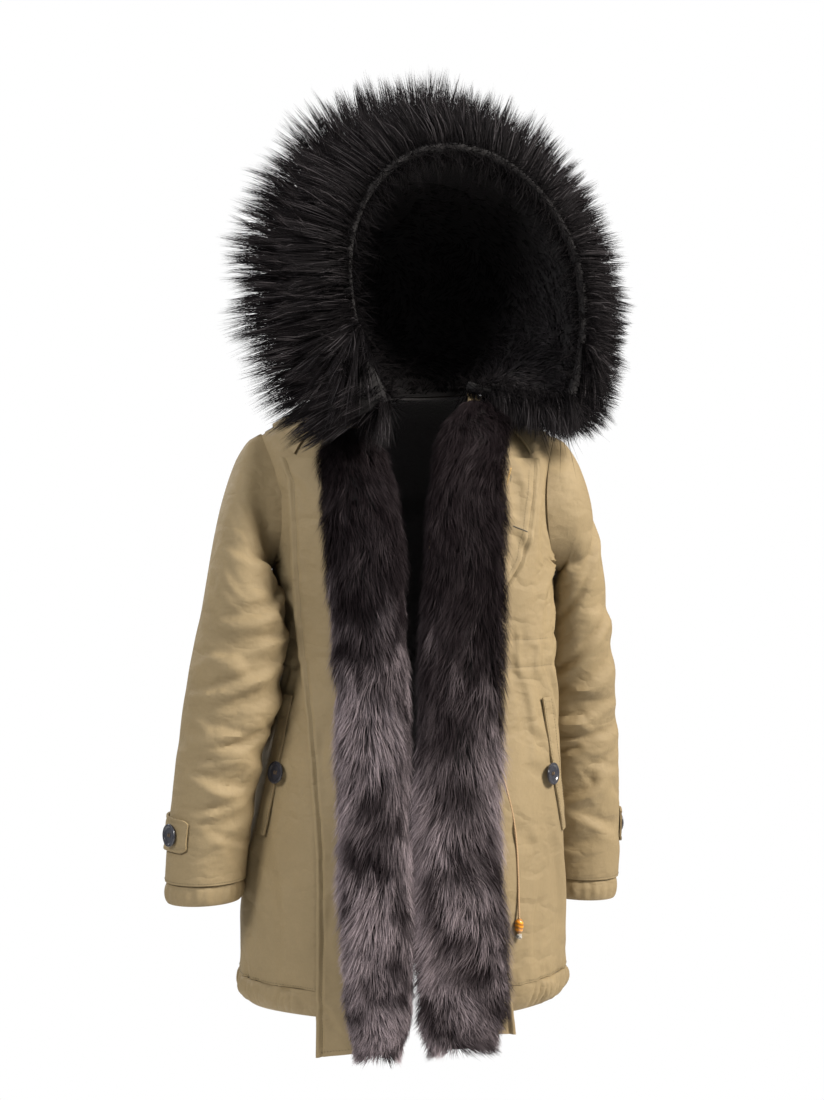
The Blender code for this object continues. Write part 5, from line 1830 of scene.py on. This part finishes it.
# A button's outline from its hollow middle over the rim to its foot, and a hole's and a thread's
# run through it. Each pair is a share of the radius, or of the hole's place, and of the thickness.
BUTTON_OUTLINE = (
    (0.0, 0.50), (0.30, 0.50), (0.60, 0.52), (0.66, 0.55), (0.72, 0.70), (0.78, 0.88), (0.85, 0.98),
    (0.91, 1.00), (0.97, 0.92), (1.00, 0.72), (0.995, 0.45), (0.96, 0.18), (0.86, 0.0), (0.0, 0.0),
)
BUTTON_HOLE = ((0.0, 0.9), (1.0, 0.9), (1.0, -0.4), (0.0, -0.4))
BUTTON_THREAD = ((-1, 0.30), (-0.92, 0.56), (-0.4, 0.66), (0.4, 0.66), (0.92, 0.56), (1, 0.30))
HOLE_RADIUS = 0.00105
HOLE_OFFSET = 0.0026 / 1.4
THREAD_RADIUS = 0.00036
THREAD_SHIFT = 0.00032


def add_button(node, place, normal):
    """A horn button with a raised rim, four holes and the thread that crosses between them."""
    name = f"{node}_horn"
    outline = [(r * BUTTON_RADIUS, h * BUTTON_THICKNESS) for r, h in BUTTON_OUTLINE]
    points, faces = turned_points(outline, 48)
    obj = new_mesh(name, placed(points, place, normal), faces, [horn])
    drill, drill_faces = turned_points(BUTTON_HOLE, 16)
    drill = drill * np.array((HOLE_RADIUS, HOLE_RADIUS, BUTTON_THICKNESS))
    drills, faces = joined([
        (drill + np.array((x * HOLE_OFFSET, y * HOLE_OFFSET, 0.0)), drill_faces)
        for x in (-1, 1) for y in (-1, 1)
    ])
    cutter = new_mesh("drill", placed(drills, place, normal), faces, [horn])
    cut = obj.modifiers.new("Holes", "BOOLEAN")
    cut.object = cutter
    cut.solver = "EXACT"
    bpy.context.view_layer.update()
    shaped = obj.evaluated_get(bpy.context.evaluated_depsgraph_get())
    done = bpy.data.meshes.new_from_object(shaped)
    obj.modifiers.clear()
    obj.data = done
    done.name = name
    done.shade_smooth()
    done.set_sharp_from_angle(angle=math.radians(40))
    bpy.data.objects.remove(cutter)
    settle(obj, "horn_button", node)
    threads, faces = joined([
        tube_points([(x * HOLE_OFFSET + shift, y * HOLE_OFFSET, h * BUTTON_THICKNESS)
                     for y, h in BUTTON_THREAD], THREAD_RADIUS, 6)
        for x in (-1, 1) for shift in (-THREAD_SHIFT, THREAD_SHIFT)
    ])
    obj = new_mesh(f"{name}_thread", placed(threads, place, normal), faces, [tan_thread])
    settle(obj, "tan_cord")


def smooth_route(route, count):
    """A smooth curve through the points of a route."""
    points = [np.array(p) for p in route]
    points = [2 * points[0] - points[1], *points, 2 * points[-1] - points[-2]]
    found = []
    for k in range(count):
        at = k / (count - 1) * (len(route) - 1)
        i = min(int(at), len(route) - 2)
        t = at - i
        a, b, c, d = points[i:i + 4]
        found.append(0.5 * (2 * b + (c - a) * t + (2 * a - 5 * b + 4 * c - d) * t**2
                            + (3 * b - a - 3 * c + d) * t**3))
    return np.array(found)


def add_cord():
    """The drawcord's end, with its bead and the knot below it."""
    curve = bpy.data.curves.new("cord", "CURVE")
    curve.dimensions = "3D"
    curve.bevel_depth = CORD_DIAMETER / 2
    curve.bevel_resolution = 4
    curve.use_fill_caps = True
    points = smooth_route(CORD_ROUTE, 25)
    last = points[-1] - np.array((0.0, 0.0, BEAD_HEIGHT + LAY_GAP + KNOT_RADIUS))
    points = np.concatenate((points, [last]))
    spline = curve.splines.new("POLY")
    spline.points.add(len(points) - 1)
    for place, point in zip(spline.points, points):
        place.co = (*map(float, point), 1.0)
    curve.materials.append(made_once("cord_cotton", cord_cotton))
    cord = bpy.data.objects.new("cord", curve)
    bpy.context.scene.collection.objects.link(cord)
    settle(cord, "tan_cord", "drawcord")

    half = BEAD_HEIGHT / 2
    centre = np.array(CORD_ROUTE[-1]) - np.array((0.0, 0.0, half + LAY_GAP / 2))
    profile = [(BEAD_RADIUS * math.sin(t) ** 0.8, half * math.cos(t))
               for t in np.linspace(0, math.pi, 25)]
    profile[0], profile[-1] = (0.0, half), (0.0, -half)
    ball, faces = turned_points(profile, 40)
    bead = new_mesh("bead", ball + centre, faces, [amber])
    settle(bead, "amber_wood", "cord_bead")

    knot = add_knot(centre - np.array((0.0, 0.0, half + KNOT_RADIUS + LAY_GAP / 2)))


def add_knot(middle):
    """A tight knot of cord with frayed threads that stand out below it."""
    rng = np.random.default_rng(SEED["knot"])
    turn = np.linspace(0, WHOLE_TURN * 1.9, 60)
    x = np.cos(turn) * 0.0020 * (1 + 0.3 * np.sin(2.3 * turn))
    line = np.stack((x, np.sin(turn) * 0.0017, 0.0016 * np.cos(1.6 * turn)), axis=1)
    parts = [tube_points(line + middle, 0.0012, 8)]
    steps = np.linspace(0, 1, 4)[:, None]
    for _ in range(46):
        way = (rng.normal(0, 0.75), rng.normal(0, 0.45), -abs(rng.normal(0.7, 0.45)))
        way = unit(np.array(way))
        reach = rng.uniform(0.0022, 0.0050)
        curl = np.array((rng.normal(), rng.normal(), 0.0)) * 0.0008
        parts.append(tube_points(middle + way * reach * steps + curl * steps**2, 0.00014, 3))
    return settle(new_mesh("knot", *joined(parts), [frayed_thread]), "tan_cord")


ZIP_TOP = LAPEL_TOP - 0.004
ZIP_SHOWN = 0.062
ZIP_TOOTH = ((0.0, 1.0), (0.55, 0.92), (0.9, 0.6), (1.0, 0.1), (0.95, 0.0), (0.0, 0.0))
ZIP_TOOTH_SIZE = np.array((0.0017, 0.0009, 0.0015))


def add_zip():
    """The short run of zip tape that shows above the right facing, with its teeth."""

    def surface(u, v):
        height = ZIP_TOP - v * ZIP_SHOWN
        x = ZIP_LINE.at("x", height) + (u - 0.5) * ZIP_WIDTH
        return on_front(x, height, lapel_lift(height) + 0.0024)

    obj, _ = shell("zip_strip", surface, stations(5), stations(40), [tape], thickness=0.0008)
    settle(obj, "brass_zip", "zip_tape")
    tooth, faces = turned_points(ZIP_TOOTH, 8)
    teeth = []
    for v in np.arange(0.01, 0.99, 0.034):
        spot = (np.asarray(0.25), np.asarray(v))
        centre = SKINS["zip_strip"](*spot)
        teeth.append((placed(tooth * ZIP_TOOTH_SIZE, centre, normal_of(surface, *spot)), faces))
    settle(new_mesh("zip_teeth", *joined(teeth), [brass]), "brass_zip", "zip_tape")


# ---------------------------------------------------------------- settings


def dye(name, description, *colour):
    return bpy.props.FloatVectorProperty(
        name=name, description=description, subtype="COLOR", size=4, min=0, max=1,
        default=(*colour, 1.0))


def hairs(name, description, count):
    return bpy.props.IntProperty(
        name=name, description=description, default=count, min=100, max=60000)


class ClothSettings(bpy.types.PropertyGroup):
    colour: dye("Cotton", "Dye of the outer cotton", 0.225, 0.166, 0.084)
    thread_colour: dye("Seam thread", "Colour of the stitching", 0.115, 0.088, 0.044)


class FurSettings(bpy.types.PropertyGroup):
    facing_colour: dye("Facing fur", "Main colour of the facings' hair", 0.0052, 0.0028, 0.0036)
    # The facing's highlight colour is a painted highlight, set into the base colour of its hair.
    facing_light: dye("Facing highlights", "Colour of its lightest hair", 0.49, 0.405, 0.428)
    ruff_colour: dye("Ruff fur", "Main colour of the ruff's hair", 0.0045, 0.0038, 0.0042)
    # The ruff's highlight colour tints its paler hairs, and it is also painted on as glints.
    ruff_light: dye("Ruff highlights", "Colour of its lightest hair", 0.12, 0.108, 0.114)
    lining_colour: dye("Lining", "Colour of the lining inside the coat", 0.012, 0.010, 0.011)
    facing_hairs: hairs("Facing hairs", "Hairs on each facing", 42000)
    ruff_hairs: hairs("Ruff hairs", "Hairs on each half of the ruff", 20500)
    border_hairs: hairs("Border hairs", "Short hairs round the hood's border", 8500)
    end_hairs: hairs("End hairs", "Hairs at the ruff's right end, twice those at its left", 4600)
    lining_hairs: hairs("Lining hairs", "Hairs inside the hood", 13000)


class TrimSettings(bpy.types.PropertyGroup):
    button_colour: dye("Buttons", "Colour of the horn buttons", 0.026, 0.027, 0.036)
    button_thread: dye("Button thread", "Colour of the thread in the buttons", 0.17, 0.11, 0.055)
    cord_colour: dye("Drawcord", "Colour of the drawcord", 0.36, 0.235, 0.125)
    bead_colour: dye("Bead", "Colour of the cord's wooden bead", 0.72, 0.27, 0.02)


class ParkaSettings(bpy.types.PropertyGroup):
    cloth: bpy.props.PointerProperty(
        type=ClothSettings, name="Cloth", description="The outer cloth")
    fur: bpy.props.PointerProperty(type=FurSettings, name="Fur", description="The fur")
    trims: bpy.props.PointerProperty(
        type=TrimSettings, name="Trims", description="Buttons and cord")


# ---------------------------------------------------------------- operators


class PARKA_OT_view(bpy.types.Operator):
    """Places the camera in front of the coat"""

    bl_idname = "parka.view"
    bl_label = "Camera"

    def execute(self, context):
        data = bpy.data.cameras.new("camera")
        data.sensor_width = 36
        data.lens = VIEW_LENS
        obj = bpy.data.objects.new("camera", data)
        context.scene.collection.objects.link(obj)
        out = Vector((math.sin(VIEW_AZIMUTH), -math.cos(VIEW_AZIMUTH), 0.0))
        obj.location = VIEW_TARGET + out * VIEW_DISTANCE
        obj.rotation_euler = (-out).to_track_quat("-Z", "Y").to_euler()
        context.scene.camera = obj
        return {"FINISHED"}


class PARKA_OT_cord(bpy.types.Operator):
    """Hangs the drawcord's end with its bead and frayed knot"""

    bl_idname = "parka.cord"
    bl_label = "Drawcord"

    def execute(self, context):
        add_cord()
        return {"FINISHED"}


class PARKA_OT_body(bpy.types.Operator):
    """Makes the back, the two fronts, their gathered hems and the tapes inside their seams"""

    bl_idname = "parka.body"
    bl_label = "Body panels"

    def execute(self, context):
        add_panel("back_panel", back_place, SEAM_GAP / 2, 90, 300)
        for side, sign in SIDES.items():

            def covered(u, sign=sign):
                from_fold = u if sign > 0 else 1 - u
                return np.clip((CASING_COVERED - from_fold) / 0.08, 0.0, 1.0)

            add_panel(f"front_{side}", front_place(side), -SEAM_GAP / 2, 72, 180, covered,
                      lambda angle, height, side=side: under_lapel(side, angle, height))
        back = (SIDE_SEAM + 0.06, WHOLE_TURN - SIDE_SEAM - 0.06)
        add_tape("tape_back", back, HEM_TAPE, "back_skirt")
        for side, sign in SIDES.items():
            seam = (sign * (SIDE_SEAM - 0.05), sign * (SIDE_SEAM + 0.05))
            add_tape(f"tape_{side}", seam, (-0.222, HEM_TAPE[1]), f"front_{side}")
            hem = (sign * (SIDE_SEAM - 0.03), sign * 0.30)
            add_tape(f"tape_hem_{side}", hem, HEM_TAPE, f"front_{side}")
            add_stay(side)
        return {"FINISHED"}


class PARKA_OT_collar(bpy.types.Operator):
    """Lays the collar round the neck"""

    bl_idname = "parka.collar"
    bl_label = "Collar"

    def execute(self, context):
        cloth("collar", ["collar"], "laid", collar_surface, stations(110), stations(18),
              [cotton, pelt], ["back_panel"], dark_edges=(TOP_EDGE,),
              lift=CLOTH + LAY_GAP + 2.2 * FACET_EASE,
              relief=lambda u, v: 0.0008 + 0.0007 * drift(u * 0.6, v * 0.08, SEED["collar"], 0.02))
        return {"FINISHED"}


class PARKA_OT_lapels(bpy.types.Operator):
    """Turns back the two lapels with the zip's tape and teeth"""

    bl_idname = "parka.lapels"
    bl_label = "Lapels and zip"

    def execute(self, context):
        for side in SIDES:
            place = lapel_place(side)

            def surface(u, v, place=place):
                x, height = place(u, v)
                return on_front(x, height, lapel_lift(height))

            near_edge = np.linspace(0.0, 0.20, 19)
            columns = np.concatenate((np.linspace(0.0, 0.80, 21), 1 - near_edge[-2::-1]))
            if side == "left":
                columns = 1 - columns[::-1]
            cloth(f"lapel_{side}", [f"placket_{side}"], "folded", surface, columns, stations(170),
                  [cotton, cotton], [f"front_{side}"], relief=lapel_relief(side))
        add_zip()
        return {"FINISHED"}


class PARKA_OT_sleeves(bpy.types.Operator):
    """Makes the creased sleeves, their cuffs and the buttoned tabs"""

    bl_idname = "parka.sleeves"
    bl_label = "Sleeves"

    def execute(self, context):
        for side in SIDES:
            cloth(f"sleeve_{side}", [f"sleeve_{side}"], "hung",
                  sleeve_surface(side, 0.0, CUFF_SEAM_RUN), ring_stations(84), stations(118, 1.05),
                  relief=sleeve_relief(side, 0.0, CUFF_SEAM_RUN), closed=True)
            add_armhole_tape(side)
            cloth(f"cuff_{side}", [f"cuff_hem_{side}"], "gathered",
                  sleeve_surface(side, CUFF_SEAM_RUN + 0.0012, 1.0), ring_stations(140),
                  stations(12), relief=cuff_relief, lift=0.0010, closed=True)
            whole = sleeve_surface(side)
            mapping = tab_mapping(side)
            relief = sleeve_relief(side, 0.0, 1.0)
            cloth(f"tab_{side}", [f"cuff_tab_{side}"], "laid", lambda u, v: whole(*mapping(u, v)),
                  stations(40), stations(22), [cotton, cotton], [f"sleeve_{side}"],
                  thickness=TAB_THICKNESS,
                  lift=lambda u, v: CLOTH + LAY_GAP + 0.0006 + relief(*mapping(u, v)),
                  relief=lambda u, v: 0.0004 - 0.0009 * bell((np.minimum(v, 1 - v) - 0.12) / 0.035))
        return {"FINISHED"}


class PARKA_OT_hood(bpy.types.Operator):
    """Makes the hood's outer cloth"""

    bl_idname = "parka.hood"
    bl_label = "Hood"

    def execute(self, context):
        rows = crumple_rows(
            SEED["hood_creases"], 46, (0.05, 0.85, 0.05, 0.36), 0.026, 0.006, 0.0016)

        def relief(u, v):
            across, along = u * HOOD_WIDTH, v * HOOD_DEPTH
            from_crown = np.abs(u - 0.5) * HOOD_WIDTH
            seam = -0.0010 * bell((from_crown - 0.036) / 0.003)
            folds = pressed(rows, across, along) + 0.0016 * drift(across, along, SEED["hood"], 0.05)
            inside_ends = smooth(v / 0.1) * smooth((1 - v) / 0.08)
            return np.maximum(CLOTH + (folds + seam) * inside_ends, 0.0) * smooth((1 - v) / 0.05)

        cloth("hood", ["hood_shell"], "hung", hood_surface, stations(104), stations(52),
              rests_on=["collar"], relief=relief, dark_edges=ALL_EDGES)
        return {"FINISHED"}


class PARKA_OT_pockets(bpy.types.Operator):
    """Makes the two pocket welts and sews on the four buttons"""

    bl_idname = "parka.pockets"
    bl_label = "Pockets and buttons"

    def execute(self, context):
        for side in SIDES:
            top, bottom = (np.array(WELTS[side][end]) for end in ("top", "bottom"))

            def surface(u, v, top=top, bottom=bottom):
                x = top[0] + (bottom[0] - top[0]) * v
                height = top[1] + (bottom[1] - top[1]) * v
                return front_spot(x, height, 0.0, (u - 0.5) * WELT_WIDTH)[0]

            cloth(f"welt_{side}", [f"pocket_welt_{side}"], "laid", surface, stations(22),
                  stations(90), [cotton, cotton], [f"front_{side}"], thickness=WELT_THICKNESS,
                  lift=CLOTH + LAY_GAP + 0.0024, relief=lambda u, v: 0.0003
                  + 0.0005 * drift(v * 0.17, u * 0.02, SEED["welt"], 0.012))
            lift = CLOTH + 2 * LAY_GAP + WELT_THICKNESS + 0.0028
            spot = front_spot(*WELTS[side]["button"], lift)
            add_button(f"pocket_button_{side}", *spot)
            lift = CLOTH + 2 * LAY_GAP + TAB_THICKNESS + 0.0008
            spot = sleeve_spot(side, sum(TAB_RUN) / 2, TABS[side]["button"], lift)
            add_button(f"cuff_button_{side}", *spot)
        return {"FINISHED"}


class PARKA_OT_stitching(bpy.types.Operator):
    """Runs the visible stitching along the seams, edges and pockets"""

    bl_idname = "parka.stitching"
    bl_label = "Stitching"

    def execute(self, context):
        def run(start, length):
            return start + length * stations(LINE_POINTS)

        def level(value):
            return np.full(LINE_POINTS, value)

        lines = []
        for side in SIDES:
            skin = SKINS[f"cloth_lapel_{side}"]
            down = run(0.004, 0.992)
            lines.append((skin, lapel_inset(side, down, LAPEL_STITCH), down))
            if side == "right":
                down = run(0.02, 0.34)
                lines.append((skin, lapel_inset(side, down, LAPEL_SECOND_STITCH), down))
            else:
                lines.append((skin, run(0.05, 0.9), level(0.992)))
            skin = SKINS[f"cloth_welt_{side}"]
            lines += [(skin, level(place), run(0.01, 0.98)) for place in (0.10, 0.90)]
            lines.append((skin, run(0.1, 0.8), level(0.03)))
            skin = SKINS[f"cloth_tab_{side}"]
            lines += [(skin, run(0.06, 0.88), level(place)) for place in (0.10, 0.90)]
            lines.append((skin, level(0.93 if side == "left" else 0.07), run(0.12, 0.76)))
            lines.append((SKINS[f"cloth_sleeve_{side}"], run(0.0, 1.0), level(0.995)))
            place = front_place(side)
            skin = SKINS[f"cloth_front_{side}"]
            start, end = (0.05, 0.99) if side == "right" else (0.01, 0.95)
            across = np.linspace(start, end, LINE_POINTS)
            lines += [(skin, across, level_share(place, across, row)) for row in WAIST_ROWS]
            lines.append((skin, across, level(HEM_STITCH)))
        skin = SKINS["cloth_back_panel"]
        across = run(0.01, 0.98)
        lines += [(skin, across, level_share(back_place, across, row)) for row in WAIST_ROWS]
        lines.append((skin, across, level(HEM_STITCH)))
        lines.append((SKINS["cloth_collar"], across, level(0.93)))
        lines += [(SKINS["cloth_hood"], level(place), run(0.05, 0.94)) for place in (0.456, 0.544)]
        across = np.linspace(0.79, 0.935, LINE_POINTS)
        hole = (SKINS["cloth_lapel_right"], across, run(0.117, 0.010))
        obj = stitches(
            "buttonhole_thread", [hole], grey_thread, pitch=0.0013, share=1.4, radius=0.0010)
        settle(obj, "tan_cord")
        settle(stitches("seam_stitching", lines, seam_thread), "tan_cord")
        return {"FINISHED"}


class PARKA_OT_facings(bpy.types.Operator):
    """Covers the two facings with fur"""

    bl_idname = "parka.facings"
    bl_label = "Fur facings"

    def execute(self, context):
        for side in SIDES:
            add_facing_fur(side)
        return {"FINISHED"}


class PARKA_OT_ruff(bpy.types.Operator):
    """Covers the hood's edge with long hair and its inside with short pile"""

    bl_idname = "parka.ruff"
    bl_label = "Hood fur"

    def execute(self, context):
        add_ruff()
        add_lining_fur()
        return {"FINISHED"}


class PARKA_OT_stage(bpy.types.Operator):
    """Lays the pale floor and sets the soft lights"""

    bl_idname = "parka.stage"
    bl_label = "Floor and lights"

    def execute(self, context):
        turn = ring_stations(FLOOR_CORNERS, WHOLE_TURN)
        rim = point_of(FLOOR_RADIUS * np.cos(turn), FLOOR_RADIUS * np.sin(turn), FLOOR_LEVEL)
        points = np.concatenate((rim, [(0.0, 0.0, FLOOR_LEVEL)]))
        i = np.arange(FLOOR_CORNERS)
        middle = np.full(FLOOR_CORNERS, FLOOR_CORNERS)
        faces = np.stack((i, (i + 1) % FLOOR_CORNERS, middle), axis=1)
        new_mesh("floor", points, faces, [pale_floor])
        for name, place, size, power, colour in LIGHTS:
            data = bpy.data.lights.new(name, "AREA")
            data.size = size
            data.energy = power
            data.color = colour
            light = bpy.data.objects.new(name, data)
            light.location = place
            way = VIEW_TARGET - Vector(place)
            light.rotation_euler = way.to_track_quat("-Z", "Y").to_euler()
            context.scene.collection.objects.link(light)
        world = bpy.data.worlds.new("studio")
        world.use_nodes = True
        nodes, links = world.node_tree.nodes, world.node_tree.links
        light = nodes["Background"]
        light.inputs["Color"].default_value = WHITE
        light.inputs["Strength"].default_value = SKY_LIGHT
        seen = nodes.new("ShaderNodeBackground")
        seen.inputs["Color"].default_value = WHITE
        path, both = nodes.new("ShaderNodeLightPath"), nodes.new("ShaderNodeMixShader")
        links.new(path.outputs["Is Camera Ray"], both.inputs["Fac"])
        links.new(light.outputs["Background"], both.inputs[1])
        links.new(seen.outputs["Background"], both.inputs[2])
        links.new(both.outputs["Shader"], nodes["World Output"].inputs["Surface"])
        context.scene.world = world
        context.scene.view_settings.view_transform = "Standard"
        return {"FINISHED"}


class PARKA_PT_panel(bpy.types.Panel):
    """Lists the steps that build the parka"""

    bl_idname = "PARKA_PT_panel"
    bl_label = "Parka"
    bl_space_type = "VIEW_3D"
    bl_region_type = "UI"
    bl_category = "Parka"

    def draw(self, context):
        parka = context.scene.parka
        for group in (parka.cloth, parka.fur, parka.trims):
            box = self.layout.box()
            for name in group.__annotations__:
                box.prop(group, name)
        for step in STEPS:
            self.layout.operator(step.bl_idname)


STEPS = (
    PARKA_OT_view,
    PARKA_OT_cord,
    PARKA_OT_body,
    PARKA_OT_collar,
    PARKA_OT_lapels,
    PARKA_OT_sleeves,
    PARKA_OT_hood,
    PARKA_OT_pockets,
    PARKA_OT_stitching,
    PARKA_OT_facings,
    PARKA_OT_ruff,
    PARKA_OT_stage,
)
CLASSES = (ClothSettings, FurSettings, TrimSettings, ParkaSettings, *STEPS, PARKA_PT_panel)


def register():
    for kind in CLASSES:
        bpy.utils.register_class(kind)
    bpy.types.Scene.parka = bpy.props.PointerProperty(type=ParkaSettings)


def unregister():
    del bpy.types.Scene.parka
    for kind in reversed(CLASSES):
        bpy.utils.unregister_class(kind)


def main():
    register()
    for step in STEPS:
        group, name = step.bl_idname.split(".")
        getattr(getattr(bpy.ops, group), name)()


if __name__ == "__main__":
    main()
